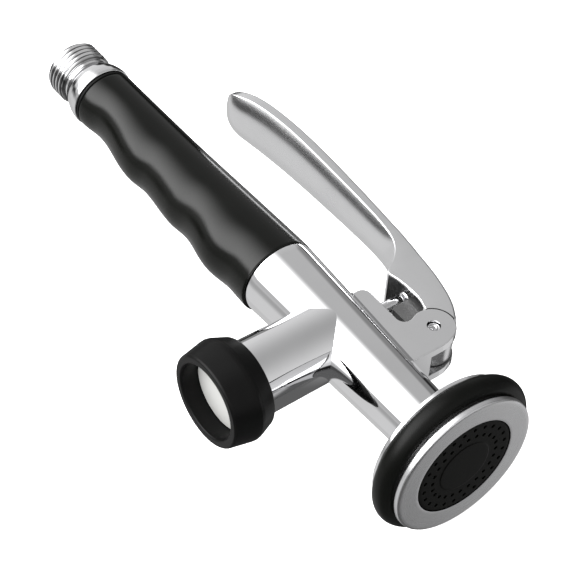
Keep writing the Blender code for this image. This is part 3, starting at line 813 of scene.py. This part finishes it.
# ---------- valve body
@dataclass
class ValveBody:
    """The cast tee: barrel, valve stub and the bracket that carries the lever."""

    tail: Point = (-46.0, 10.6)         # rear end and radius of the tail under the grip
    barrel: Point = (-30.5, 50.0)       # rear and front end of the plain barrel
    barrel_radius: float = 12.67
    taper: float = -0.040                             # radius change for each millimetre along X
    spigot: Point = (57.0, 8.8)
    stub: tuple[float, float, float] = (12.5, 12.94, 42.85)   # root radius, end radius, length
    stub_even_from: float = 33.0
    ear_radius: float = 7.4
    ear_half: float = 7.7
    base_top: float = 16.0
    base_rear: float = -6.2
    base_corner: float = 3.2
    notch_radius: float = 3.0
    ear_front: float = 27.7
    foot: float = 4.0                                 # height of the bracket's hidden feet over the axis
    slot_half: float = 4.6
    slot_floor: float = 16.8
    slot_rear: float = 8.0
    slot_top: float = 40.0
    bracket_edge: float = 0.35
    fillet: Point = (1.5, 0.7)          # reach of the foot's fillet on the barrel and on the bracket

    segments: tuple[int, int] = (288, 240)                   # of the barrel's and the stub's full turn
    longest: float = 2.4                              # longest straight piece of their outlines
    margin: float = 0.35                              # strip at a surface's ends that keeps plain normals
    tail_bore: Outline = ((-46.5, 0.0), (-46.5, 8.0), (-32.0, 8.0), (-32.0, 6.0), (-6.6, 6.0), (-6.6, 0.0))
    stem_bore: Outline = ((-20.0, 0.0), (-20.0, 2.7), (-9.0, 2.7), (-9.0, 4.8), (10.5, 4.8), (10.5, 5.3),
                          (13.7, 5.3), (13.7, 10.5), (44.0, 10.5), (44.0, 0.0))
    head_bore: Outline = ((0.0, 0.0), (0.0, 6.5), (58.0, 6.5), (58.0, 0.0))

    def radius_at(self, x: float) -> float:
        """Give the tapered barrel's radius."""
        return self.barrel_radius + self.taper * x

    def bracket_outline(self) -> list[Point]:
        """Trace the bracket's side from its rear foot round the ear to its front foot."""
        pin_x, pin_y = PIN
        corner = (self.base_rear + self.base_corner, self.base_top - self.base_corner)
        rise = self.base_top + self.notch_radius - pin_y
        notch = (pin_x - math.sqrt((self.ear_radius + self.notch_radius) ** 2 - rise**2),
                 self.base_top + self.notch_radius)
        turn = math.degrees(math.atan2(notch[1] - pin_y, notch[0] - pin_x))
        points = [(self.base_rear, self.foot)]
        points += arc(corner, self.base_corner, 180.0, 90.0, 14)
        points += arc(notch, self.notch_radius, -90.0, turn + 180.0, 12)
        points += arc(PIN, self.ear_radius, turn + 360.0, 16.0, 60)[1:]
        points += [(self.ear_front - 0.2, 23.6), (self.ear_front, 21.4), (self.ear_front, self.foot)]
        return points

    def foot_fillet(self, side: float) -> Solid:
        """Fill the corner where one side of the bracket runs into the barrel."""
        steps, inset, overlap, depth = 16, 0.05, 0.02, 2.5
        on_barrel, on_bracket = self.fillet
        start, end = self.base_rear + inset, self.ear_front - inset
        wall = self.ear_half
        rings = []
        for step in range(steps + 1):
            x = start + (end - start) * step / steps
            radius = self.radius_at(x)
            low = math.sqrt(radius**2 - wall**2)
            back = math.atan2(low, wall) - on_barrel / radius
            sunk = radius - 1.5 * overlap
            corners = [(low + on_bracket, wall - overlap), (sunk * math.sin(back), sunk * math.cos(back)),
                       (low - on_barrel, wall - depth), (low + on_bracket, wall - depth)]
            rings.append([Vector((x, y, side * z)) for y, z in corners])
        return through_rings(rings, False)

    def solid(self) -> Solid:
        """Model the outside with its slot, pin bore, stem bore and water ways."""
        tail_end, tail_radius = self.tail
        rear, front = self.barrel
        tip, spigot_radius = self.spigot
        body = turned(finer(rounded([
            (tail_end, 0.0), (tail_end, tail_radius, 0.4), (rear, tail_radius),
            (rear, self.radius_at(rear), 0.3), (front, self.radius_at(front), 0.3),
            (front, spigot_radius), (tip, spigot_radius, 0.4), (tip, 0.0),
        ]), self.longest), Axis.BARREL, self.segments[0], closed=False)
        root, end, length = self.stub
        stub = turned(finer(rounded([
            (0.0, 0.0), (0.0, root), (self.stub_even_from, end, 6.0), (length, end, 0.3), (length, 0.0),
        ]), self.longest), Axis.STUB, self.segments[1], closed=False)
        bracket = outline_prism(self.bracket_outline(), self.ear_half, self.bracket_edge)
        beyond = self.ear_front + 5.0
        slot = outline_prism([(self.slot_rear, self.slot_floor), (beyond, self.slot_floor),
                              (beyond, self.slot_top), (self.slot_rear, self.slot_top)], self.slot_half, 0.0)
        bores = ((self.tail_bore, Axis.BARREL), (self.stem_bore, Axis.STUB), (self.head_bore, Axis.BARREL))
        added = [stub, bracket, self.foot_fillet(1.0), self.foot_fillet(-1.0)]
        cut = [slot, on_pin(PIN_BORE, 48)]
        cut += [turned(outline, axis, 64, closed=False) for outline, axis in bores]
        return combined(body, [(tool, "UNION") for tool in added] + [(tool, "DIFFERENCE") for tool in cut])

    def in_slot(self, centre: Vector) -> bool:
        """Tell whether a point lies on the slot's walls or floor."""
        near = 0.02
        return (abs(centre.z) < self.slot_half + near and centre.y > self.slot_floor - near
                and centre.x < self.ear_front - 0.05)

    def true_normals(self, corners: Sequence[Vector], normal: Vector, area: float) -> Sequence[Vector] | None:
        """Give the ideal normals of a face on the barrel, the stub, an ear or a flat side."""
        near, flat_area, upright = 0.03, 2.0, 0.9995
        root, end, length = self.stub
        rear, front = self.barrel
        slope = (end - root) / self.stub_even_from

        def on_barrel(p: Vector) -> bool:
            """Tell whether a point lies on the tapered barrel."""
            inside = rear + self.margin < p.x < front - self.margin
            return inside and abs(math.hypot(p.y, p.z) - self.radius_at(p.x)) < near

        def on_stub(p: Vector) -> bool:
            """Tell whether a point lies on the stub."""
            radius = root + (end - root) * min(-p.y / self.stub_even_from, 1.0)
            return self.margin - length < p.y < -1.0 and abs(math.hypot(p.x, p.z) - radius) < near

        def on_ear(p: Vector) -> bool:
            """Tell whether a point lies on the ears' round edge."""
            reach = math.hypot(p.x - PIN[0], p.y - PIN[1])
            return abs(p.z) < self.ear_half - self.bracket_edge + near and abs(reach - self.ear_radius) < near

        if all(on_barrel(p) for p in corners):
            return [Vector((-self.taper, *(Vector((p.y, p.z)).normalized()))).normalized() for p in corners]
        if all(on_stub(p) for p in corners):
            flats = [Vector((p.x, p.z)).normalized() for p in corners]
            return [Vector((flat.x, slope, flat.y)).normalized() for flat in flats]
        if all(on_ear(p) for p in corners):
            return [Vector((p.x - PIN[0], p.y - PIN[1], 0.0)).normalized() for p in corners]
        if area > flat_area and max(abs(value) for value in normal) > upright:
            return [normal] * len(corners)
        return None

    def build(self) -> None:
        """Make the body and dress it."""
        casting = finished("body_casting", self.solid(), BODY_CHROME, "root", "valve_body",
                           30.0)
        # painted shade: darken the slot's faces with the dark slot plate
        paint_recess_shade(casting, SLOT_SHADE_CHROME, self.in_slot)
        set_true_normals(casting, self.true_normals)


# ---------- hose end
@dataclass
class HoseEnd:
    """The hose nipple with its helical thread and collar, and the seal between it and the grip."""

    sides: int = 112
    rear: float = -155.1
    thread_start: float = -154.75
    pitch: float = 1.814
    lead: float = 0.25                # length of the chamfer before the thread
    rise: Point = (0.02, 0.3)         # start and length of a crest's first flank, as shares of the pitch
    fall: Point = (0.92, 0.34)        # end and length of its second flank
    fades: Point = (0.9, 1.2)         # lengths over which the thread runs in and out
    crest: float = 10.48
    root: float = 9.72
    thread_end: float = -145.3
    steps_per_turn: int = 16
    collar: Outline = (
        (-145.2, 9.2, 0.2), (-144.3, 9.05, 0.6), (-143.2, 9.35, 0.8), (-141.4, 10.5, 3.0),
        (-139.4, 11.25, 3.0), (-137.4, 11.7, 4.0), (-135.9, 11.8, 2.0), (-134.9, 11.7, 0.35),
        (-134.9, 8.0, 0.2), (-142.0, 8.0), (-142.0, 5.6), (-149.4, 5.6), (-149.4, 6.5), (-155.1, 6.5, 0.25),
    )
    seal: Outline = ((-134.6, 8.1, 0.2), (-134.6, 11.35, 0.35), (-133.6, 11.35, 0.35), (-133.6, 8.1, 0.2))

    def thread_radius(self, x: float, angle: float) -> float:
        """Give the thread's radius on a helix that runs in and out softly."""
        phase = ((x - self.thread_start) / self.pitch - angle / FULL_TURN) % 1.0
        flank = min(ramp(phase - self.rise[0], self.rise[1]), ramp(self.fall[0] - phase, self.fall[1]))
        flank = flank * flank * (3.0 - 2.0 * flank)
        fade = ramp(x - self.rear - self.lead, self.fades[0]) * ramp(self.thread_end - x, self.fades[1])
        return self.root + (self.crest - self.root) * flank * fade

    def build(self) -> None:
        """Make the nipple and its seal ring."""
        start = self.rear + self.lead
        rings = [ring_at(self.rear, [self.root - 0.3] * self.sides), ring_at(start, [self.root] * self.sides)]
        count = int((self.thread_end - self.rear) / self.pitch * self.steps_per_turn)
        for step in range(1, count + 1):
            x = start + (self.thread_end - start) * step / count
            rings.append(ring_at(x, [self.thread_radius(x, angle) for angle in angles_round(self.sides)]))
        rings += [ring_at(x, [radius] * self.sides) for x, radius in rounded(self.collar)]
        nipple = through_rings(rings, True)
        finished("hose_nipple", nipple, NIPPLE_CHROME, "root", "inlet_nipple")
        seal = turned(rounded(self.seal, 4, True), Axis.BARREL)
        finished("grip_end_seal", seal, SEAL_RUBBER, "root", "grip_seal_ring")


# ---------- grip
@dataclass
class Grip:
    """The moulded grip sleeve with its finger hollows along the underside."""

    rear: float = -133.3
    front: float = -30.8
    sides: int = 128
    stations: int = 150
    back: Outline = (
        (-133.3, 11.38), (-114.0, 11.6), (-89.0, 12.05), (-60.0, 13.1), (-36.0, 13.9), (-30.8, 14.0))
    fingers: Outline = (
        (-133.3, 0.1), (-123.5, -1.25), (-101.2, 1.75), (-92.0, 0.55), (-76.2, 1.5),
        (-67.0, 0.4), (-51.5, 2.3), (-39.5, 0.7), (-30.8, 0.75))
    hollow_power: float = 1.5         # how sharply the hollows keep to the finger side
    edge: float = 0.6
    edge_steps: int = 4
    bore: tuple[float, float, float] = (8.1, 10.9, -46.4)     # rear radius, front radius, step between them
    bore_bevel: float = 0.3

    def section(self, x: float, shrink: float) -> list[Vector]:
        """Give one outer section, round at the back and wavy where the fingers close."""
        back = curve_at(x, self.back) - shrink
        wave = wave_at(x, self.fingers)
        shares = [max(-math.cos(angle), 0.0) ** self.hollow_power for angle in angles_round(self.sides)]
        return ring_at(x, [back + wave * share for share in shares])

    def rim(self, end: float, inward: float) -> list[list[Vector]]:
        """Give the rounded rim at one end, from its full section out to its edge."""
        turns = [math.radians(90.0 * step / self.edge_steps) for step in range(self.edge_steps + 1)]
        return [self.section(end + inward * self.edge * (1.0 - math.sin(turn)),
                             self.edge * (1.0 - math.cos(turn))) for turn in turns]

    def build(self) -> None:
        """Make the sleeve."""
        rings = self.rim(self.rear, 1.0)[::-1]
        span = self.front - self.rear - 2.0 * self.edge
        for station in range(1, self.stations):
            rings.append(self.section(self.rear + self.edge + span * station / self.stations, 0.0))
        rings += self.rim(self.front, -1.0)
        rear_hole, front_hole, change = self.bore
        bevel = self.bore_bevel
        for x, radius in ((self.front, front_hole + bevel), (self.front - bevel, front_hole),
                          (change, front_hole), (change, rear_hole), (self.rear, rear_hole)):
            rings.append(ring_at(x, [radius] * self.sides))
        sleeve = through_rings(rings, True)
        finished("grip_sleeve", sleeve, GRIP_PLASTIC, "root", "hand_grip", 50.0)


# ---------- valve outside parts
@dataclass
class ValveEnd:
    """The stem, the spring, the stub's plug and its rubber bumper."""

    coil: Knot = (20.2, 40.2, 4.9, 0.5)                # start, end, radius, radius of the wire
    coil_turns: int = 6
    coil_steps: tuple[int, int] = (40, 12)             # round a turn and round the wire
    tip: Knot = (-27.8, -25.9, 0.5, 1.9)               # end, shoulder, radius of the flat and of the edge
    stem: Outline = ((-6.6, 2.4), (-5.8, 1.6), (11.4, 1.6), (12.6, 2.9), (14.6, 2.9), (14.6, 1.6),
                     (24.0, 1.6), (24.0, 0.0))
    plug: Outline = ((45.15, 0.0), (45.15, 12.94, 0.3), (43.15, 12.94, 0.1), (43.15, 10.2), (41.4, 10.2),
                     (41.4, 8.6), (39.4, 8.6), (39.4, 10.2, 0.2), (37.6, 10.2, 0.3), (37.6, 5.8),
                     (41.0, 5.8), (41.0, 0.0))
    cup: Outline = ((35.5, 13.25), (35.5, 15.1, 0.4), (35.9, 15.55, 0.3), (40.9, 17.55, 1.2),
                    (42.0, 17.8, 0.9), (43.2, 17.7, 0.9), (51.0, 16.25, 0.7), (51.6, 15.7, 0.5),
                    (51.6, 13.7, 0.4), (51.15, 13.25, 0.2))

    def spring(self) -> Solid:
        """Wind the valve spring."""
        start, end, radius, wire = self.coil
        steps, sides = self.coil_steps[0] * self.coil_turns, self.coil_steps[1]
        climb = math.atan2(end - start, FULL_TURN * radius * self.coil_turns)
        rings = []
        for step in range(steps + 1):
            angle = FULL_TURN * self.coil_turns * step / steps
            out = Vector((math.cos(angle), 0.0, math.sin(angle)))
            around = Vector((math.sin(angle), 0.0, -math.cos(angle)))
            side = around * math.sin(climb) - Vector((0.0, math.cos(climb), 0.0))
            centre = out * radius + Vector((0.0, start - end, 0.0)) * step / steps - Vector((0.0, start, 0.0))
            rings.append([centre + (out * math.cos(a) + side * math.sin(a)) * wire
                          for a in angles_round(sides)])
        return through_rings(rings, False)

    def build(self) -> None:
        """Make the four pieces."""
        coil = finished("valve_coil_spring", self.spring(), SPRING_STEEL, None, "valve_spring",
                        60.0)
        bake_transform(coil)
        end, shoulder, flat, edge = self.tip
        stem = turned([(end, 0.0), *arc((shoulder, flat), edge, 180.0, 90.0, 14), *self.stem],
                      Axis.STUB, 72, closed=False)
        finished("valve_stem", stem, STEM_STEEL, "stem", "spindle")
        plug = turned(rounded(self.plug), Axis.STUB, 112, closed=False)
        finished("stub_plug", plug, PLUG_PLASTIC, "root", "end_plug")
        cup = turned(finer(rounded(self.cup, 6, True), 1.0), Axis.STUB, 128)
        finished("stub_bumper_cup", cup, BUMPER_RUBBER, "root", "stub_bumper", 50.0)


# ---------- spray head
@dataclass
class SprayHead:
    """The flat round head: flange, bumper ring, face plate and the insert with its spray holes."""

    face: float = 65.24
    plate_radius: float = 26.2
    insert_radius: float = 18.05
    hole_rings: tuple[tuple[float, int, float], ...] = ((15.9, 24, 7.9), (12.6, 24, 0.9))
    hole_radius: float = 0.72
    centre_boss: float = 9.4
    plate_bore: float = 18.35
    ring_outer: float = 29.6
    ring_middle: Point = (58.15, 26.0)
    ring_half: float = 3.9            # half the ring's width
    ring_foot: float = 24.9
    segments: int = 160
    back: Outline = (
        (50.3, 9.1), (50.3, 12.0, 0.3), (51.6, 22.0, 4.0), (52.0, 25.4, 0.8), (52.5, 26.2, 0.45),
        (53.6, 26.2, 0.35), (54.0, 25.8, 0.2), (54.0, 22.2), (60.6, 22.2, 0.2), (60.6, 20.0),
        (54.2, 20.0), (54.4, 12.0), (59.3, 12.0), (59.3, 7.0), (58.5, 7.0), (58.5, 9.1))

    def flange(self) -> Solid:
        """Turn the flange with its thin polished lip."""
        return turned(finer(rounded(self.back, 6, True), 1.2), Axis.BARREL, self.segments)

    def plate(self) -> Solid:
        """Turn the face plate with its rounded rim and fine inner edge."""
        rim, bore = self.plate_radius, self.plate_bore
        outline = rounded([
            (54.4, 22.5), (63.0, 22.5), (63.0, bore), (self.face, bore, 0.05), (self.face, rim, 0.75),
            (63.2, rim, 0.2), (63.0, 24.6), (54.4, 24.6)], 8, True)
        return turned(finer(outline, 1.0), Axis.BARREL, self.segments)

    def insert(self) -> Solid:
        """Turn the insert and drill its rings of holes."""
        face, rim, boss = self.face - 0.15, self.insert_radius, self.centre_boss
        outline = rounded([
            (61.9, 0.0), (61.9, 22.0, 0.15), (62.7, 22.0), (62.7, rim), (face, rim, 0.12),
            (face, boss + 0.35, 0.1), (self.face, boss, 0.2), (self.face, 0.0)], 5)
        body = turned(finer(outline, 1.2), Axis.BARREL, 128, closed=False)
        drills = bmesh.new()
        for radius, count, first in self.hole_rings:
            for i in range(count):
                angle = math.radians(first) + FULL_TURN * i / count
                place = Matrix.Translation((63.5, radius * math.cos(angle), radius * math.sin(angle)))
                bmesh.ops.create_cone(drills, cap_ends=True, segments=14, radius1=self.hole_radius,
                                      radius2=self.hole_radius, depth=8.0,
                                      matrix=place @ Matrix.Rotation(math.radians(90.0), 4, "Y"))
        return combined(body, [(drills, "DIFFERENCE")])

    def bumper(self) -> Solid:
        """Turn the half-round rubber ring between the flange and the plate."""
        x, radius = self.ring_middle
        angles = [math.radians(180.0 - 6.0 * step) for step in range(31)]
        rise = self.ring_outer - radius
        bulge = [(x + self.ring_half * math.cos(a), radius + rise * math.sin(a)) for a in angles]
        outline = [(x - self.ring_half, self.ring_foot), *bulge, (x + self.ring_half, self.ring_foot)]
        return turned(outline, Axis.BARREL, self.segments)

    def build(self) -> None:
        """Make the head's four outer pieces."""
        finished("head_back_flange", self.flange(), FLANGE_CHROME, "root", "head_flange")
        plate = finished("head_face_plate", self.plate(), FACE_CHROME, "root", "face_plate")
        # painted shade: the chrome plate's bore wall takes the insert's black plastic, standing in for the
        # shade in the gap round the insert
        paint_recess_shade(plate, INSERT_PLASTIC, lambda c: math.hypot(c.y, c.z) < self.plate_bore + 0.07)
        finished("spray_insert", self.insert(), INSERT_PLASTIC, "root", "nozzle_insert")
        finished("head_bumper", self.bumper(), RING_RUBBER, "root", "head_bumper_ring", 60.0)


# ---------- lever
@dataclass
class SqueezeLever:
    """The squeeze lever with its rounded underside, and the pin it turns on."""

    crown: float = 0.8               # rise of the top's middle over its shoulders
    corner: float = 0.5              # rounding between the sides and the underside
    bulge_power: float = 2.5
    ear_clearance: float = 7.65
    ear_room: Point = (4.3, 14.6)    # from the middle plane out to where the ears are cleared
    pocket: tuple[float, float, float, float] = (-6.7, 11.0, 31.5, 6.9)    # rear, front, ceiling, half width
    pad: tuple[float, float, float] = (28.1, 32.5, 2.6)                    # face, top and radius
    heel: tuple[float, float, float, float] = (3.6, 13.5, 19.6, 32.0)      # rear, front, low, high
    tongue: Point = (6.8, 4.3)                               # radius and half width
    pin_outline: Outline = ((-6.9, 0.0), (-6.9, 2.0, 0.35), (6.9, 2.0, 0.35), (6.9, 1.1, 0.2),
                            (6.6, 0.8, 0.2), (6.6, 0.0))
    stations: Sequence[Knot] = (
        # x, shoulder, edge of the underside, half width, bulge of the underside
        (-108.2, 35.5, 35.1, 1.2, 0.1), (-107.9, 36.0, 34.8, 3.6, 0.3), (-107.2, 36.6, 34.4, 5.5, 0.7),
        (-104.8, 37.6, 34.2, 7.6, 1.5), (-101.0, 38.8, 34.7, 9.1, 1.9), (-96.0, 40.0, 36.0, 10.0, 2.2),
        (-88.0, 41.2, 37.3, 10.4, 2.3), (-77.0, 42.1, 38.3, 10.4, 2.3), (-65.0, 42.5, 38.7, 10.0, 2.2),
        (-53.0, 42.5, 38.8, 9.5, 2.1), (-42.0, 42.3, 38.8, 9.0, 2.0), (-31.0, 41.9, 38.6, 8.6, 1.9),
        (-24.0, 41.6, 38.1, 8.3, 1.7), (-19.0, 41.4, 37.2, 8.15, 1.4), (-15.5, 41.1, 35.7, 8.0, 1.1),
        (-12.0, 40.8, 32.8, 7.9, 0.8), (-9.4, 40.5, 29.4, 7.8, 0.4), (-7.5, 40.3, 26.5, 7.7, 0.12),
        (-3.0, 39.8, 27.2, 7.7, 0.12), (3.0, 38.9, 27.8, 7.7, 0.12), (8.0, 37.8, 27.6, 7.7, 0.12),
        (12.0, 36.7, 26.5, 7.7, 0.12), (16.2, 35.0, 26.4, 7.7, 0.12), (20.8, 32.3, 26.4, 7.7, 0.12))

    def section(self, x: float) -> list[Vector]:
        """Give one section: a crowned top, upright sides and a rounded underside."""
        top, edge, half, bulge = (curve_at(x, self.stations, column) for column in (1, 2, 3, 4))
        height = top - edge
        corner = min(self.corner, 0.3 * height, 0.2 * half, max(0.35, bulge))
        shoulder = min(1.3, 0.45 * height, 0.5 * half)
        right = [(half * share, top + self.crown * (1.0 - share**2))
                 for share in (0.0, 0.15, 0.3, 0.45, 0.6, 0.72)]
        under = [(half * share, edge - bulge * (1.0 - share**self.bulge_power))
                 for share in (0.86, 0.78, 0.7, 0.6, 0.5, 0.4, 0.3, 0.2, 0.1)]
        sides = [right[-1], (half, top + 0.05 * self.crown, shoulder), (half, edge, corner), under[0]]
        right += rounded(sides, 7)[1:] + under[1:]
        left = [(-z, y) for z, y in reversed(right[1:])]
        return [Vector((x, y, z)) for z, y in right + [(0.0, edge - bulge)] + left]

    def solid(self) -> Solid:
        """Loft the lever, clear its root round the ears, and add the tongue on the pin."""
        places = []
        for (x0, *_), (x1, *_) in zip(self.stations, self.stations[1:]):
            parts = max(2, math.ceil((x1 - x0) / 1.5))
            places += [x0 + (x1 - x0) * part / parts for part in range(parts)]
        places.append(self.stations[-1][0])
        lever = through_rings([self.section(x) for x in places], False)
        wide, clear = self.tongue[1], self.ear_clearance
        near, far = self.ear_room
        cut = [on_pin([(side * near, 0.0), (side * near, clear), (side * far, clear), (side * far, 0.0)], 96)
               for side in (-1.0, 1.0)]
        rear, front, ceiling, half = self.pocket
        cut.append(outline_prism([(rear, 20.0), (front, 20.0), (front, ceiling), (rear, ceiling)], half, 0.0))
        face, top, pad_radius = self.pad
        pad = turned(rounded([(-top, 0.0), (-top, pad_radius), (-face, pad_radius, 0.7), (-face, 0.0)], 6),
                     Axis.STUB, 48, closed=False)
        heel_rear, heel_front, low, high = self.heel
        heel = outline_prism(rounded([(heel_rear, low, 1.2), (heel_front, low), (heel_front, high),
                                      (heel_rear, high)], 6, True), wide - 0.01, 0.0)
        reach = self.tongue[0]
        tongue = on_pin(rounded([(-wide, 0.0), (-wide, reach, 0.3), (wide, reach, 0.3), (wide, 0.0)]), 96)
        tools = [(tool, "DIFFERENCE") for tool in cut] + [(tool, "UNION") for tool in (pad, heel, tongue)]
        return combined(lever, tools + [(on_pin(PIN_BORE, 48), "DIFFERENCE")], "MANIFOLD")

    def in_recess(self, centre: Vector) -> bool:
        """Tell whether a point lies in the pocket over the stem or on the walls beside the ears."""
        near, ear_edge = 0.02, 7.6
        rear, front, ceiling, half = self.pocket
        in_pocket = (rear - near < centre.x < front + near and centre.y < ceiling + near
                     and abs(centre.z) < half + near)
        on_pad = math.hypot(centre.x, centre.z) < self.pad[2] + near
        reach = math.hypot(centre.x - PIN[0], centre.y - PIN[1])
        beside_ear = self.tongue[0] + 0.1 < reach < self.ear_clearance + near and abs(centre.z) < ear_edge
        return (in_pocket and not on_pad) or beside_ear

    def build(self) -> None:
        """Make the lever and its pin."""
        arm = finished("lever_squeeze_arm", self.solid(), LEVER_CHROME, "lever", "lever",
                       32.0)
        # painted shade: darken the pocket over the stem and the gaps beside the ears
        paint_recess_shade(arm, POCKET_SHADE_CHROME, self.in_recess)
        pin = on_pin(rounded(self.pin_outline), 64)
        finished("lever_hinge_pin", pin, PIN_STEEL, "root", "lever_pin")


# ---------- studio
@dataclass
class Studio:
    """A white table, a soft studio sky and the camera."""

    eye: tuple[float, float, float] = (369.17, -336.12, 548.81)
    forward: tuple[float, float, float] = (-0.52248, 0.44488, -0.72739)
    upward: tuple[float, float, float] = (-0.60891, 0.40249, 0.68354)
    lens: float = 143.97
    floor_size: float = 6.0
    box_strength: float = 7.0

    def table(self) -> None:
        """Lay the pale table under the sprayer."""
        bm = bmesh.new()
        bmesh.ops.create_grid(bm, x_segments=2, y_segments=2, size=self.floor_size / 2.0)
        bmesh.ops.translate(bm, verts=bm.verts, vec=(0.0, 0.0, CAD_BOX[0].z - 0.0004))
        floor = placed("table_top", mesh_of("table_top", bm))
        material = bpy.data.materials.new("pale_table")
        material.use_nodes = True
        shader = material.node_tree.nodes["Principled BSDF"]
        for label, value in (("Base Color", (0.9, 0.9, 0.9, 1.0)), ("Roughness", 0.9),
                             ("Specular IOR Level", 0.0), ("Emission Color", (1.0, 1.0, 1.0, 1.0)),
                             ("Emission Strength", 1.0)):
            shader.inputs[label].default_value = value
        floor.data.materials.append(material)
        floor.visible_glossy = False

    def sky(self) -> None:
        """Paint the soft boxes and dark cards that the metal mirrors."""
        world = bpy.data.worlds.new("studio_sky")
        world.use_nodes = True
        bpy.context.scene.world = world
        sketch = Sketch(world.node_tree)
        background = world.node_tree.nodes["Background"]
        split = sketch.node("ShaderNodeSeparateXYZ")
        sketch.feed(split.inputs[0], sketch.node("ShaderNodeTexCoord").outputs["Generated"])
        x, y, z = split.outputs
        # the ceiling is brighter towards both ends of the room, and dims beyond the lever
        ceiling = sketch.math("ADD", sketch.math("MULTIPLY", x, x, 0.42), 0.4)
        ceiling = sketch.math("MULTIPLY", ceiling, sketch.smooth(y, 0.78, 0.86, 1.0, 0.5))
        # pale ground on the left, on the near side and beyond the lever
        left = sketch.math("MULTIPLY", sketch.smooth(x, -0.02, -0.42, 0.0, 0.58), sketch.smooth(y, 0.4, 0.2))
        near = sketch.math("MULTIPLY", sketch.smooth(y, 0.0, -0.4, 0.0, 0.65), sketch.smooth(x, 0.25, -0.25))
        lever_side = sketch.math("MULTIPLY", sketch.smooth(y, 0.435, 0.5, 0.08, 0.64),
                                 sketch.smooth(x, -0.1, 0.15), sketch.smooth(x, 0.8, 0.62))
        ground = sketch.math("MAXIMUM", left, near, lever_side, 0.12)
        base = sketch.blend(sketch.smooth(z, -0.03, 0.07), ground, ceiling)
        # a dark rim round the horizon, deepest at both ends
        rim = sketch.math("MULTIPLY", sketch.smooth(z, -0.38, -0.14), sketch.smooth(z, 0.06, -0.08))
        depth = sketch.math("MAXIMUM", sketch.smooth(y, -0.6, 0.1, 0.4, 0.85),
                            sketch.smooth(sketch.math("ABSOLUTE", x), 0.55, 0.8, 0.0, 0.93))
        left_over = sketch.math("SUBTRACT", 1.0, sketch.math("MULTIPLY", rim, depth))
        base = sketch.math("MULTIPLY", base, left_over)
        # the soft box above the near side
        box = sketch.math("MULTIPLY", sketch.smooth(y, 0.25, -0.8), sketch.smooth(z, 0.14, 0.38),
                          sketch.smooth(x, 0.5, -0.2, 0.12, 1.0), self.box_strength)
        light = sketch.math("ADD", base, box)
        seen = sketch.node("ShaderNodeLightPath").outputs["Is Camera Ray"]
        sketch.feed(background.inputs["Strength"], sketch.blend(seen, light, 1.0))
        background.inputs["Color"].default_value = (1.0, 1.0, 1.0, 1.0)

    def camera(self) -> None:
        """Set the camera up."""
        data = bpy.data.cameras.new("studio_camera")
        data.sensor_width = 36.0
        data.lens = self.lens
        camera = placed("studio_camera", data)
        back = -Vector(self.forward).normalized()
        side = Vector(self.upward).cross(back).normalized()
        turn = Matrix((side, back.cross(side), back)).transposed().to_4x4()
        camera.matrix_world = Matrix.Translation(ORIGIN + Vector(self.eye) * MM) @ turn
        data.clip_start, data.clip_end = 0.01, 20.0
        bpy.context.scene.camera = camera

    def build(self) -> None:
        """Set the whole studio up."""
        self.table()
        self.sky()
        self.camera()
        bpy.context.scene.view_settings.view_transform = "Standard"


def main() -> None:
    """Build the sprayer's pieces in order, then the studio."""
    logging.basicConfig(level=logging.INFO, format="%(name)s %(message)s")
    dress_inner_nodes()
    for part in (ValveBody(), HoseEnd(), Grip(), ValveEnd(), SprayHead(), SqueezeLever(), Studio()):
        LOG.info("building %s", type(part).__name__)
        part.build()


if __name__ == "__main__":
    main()
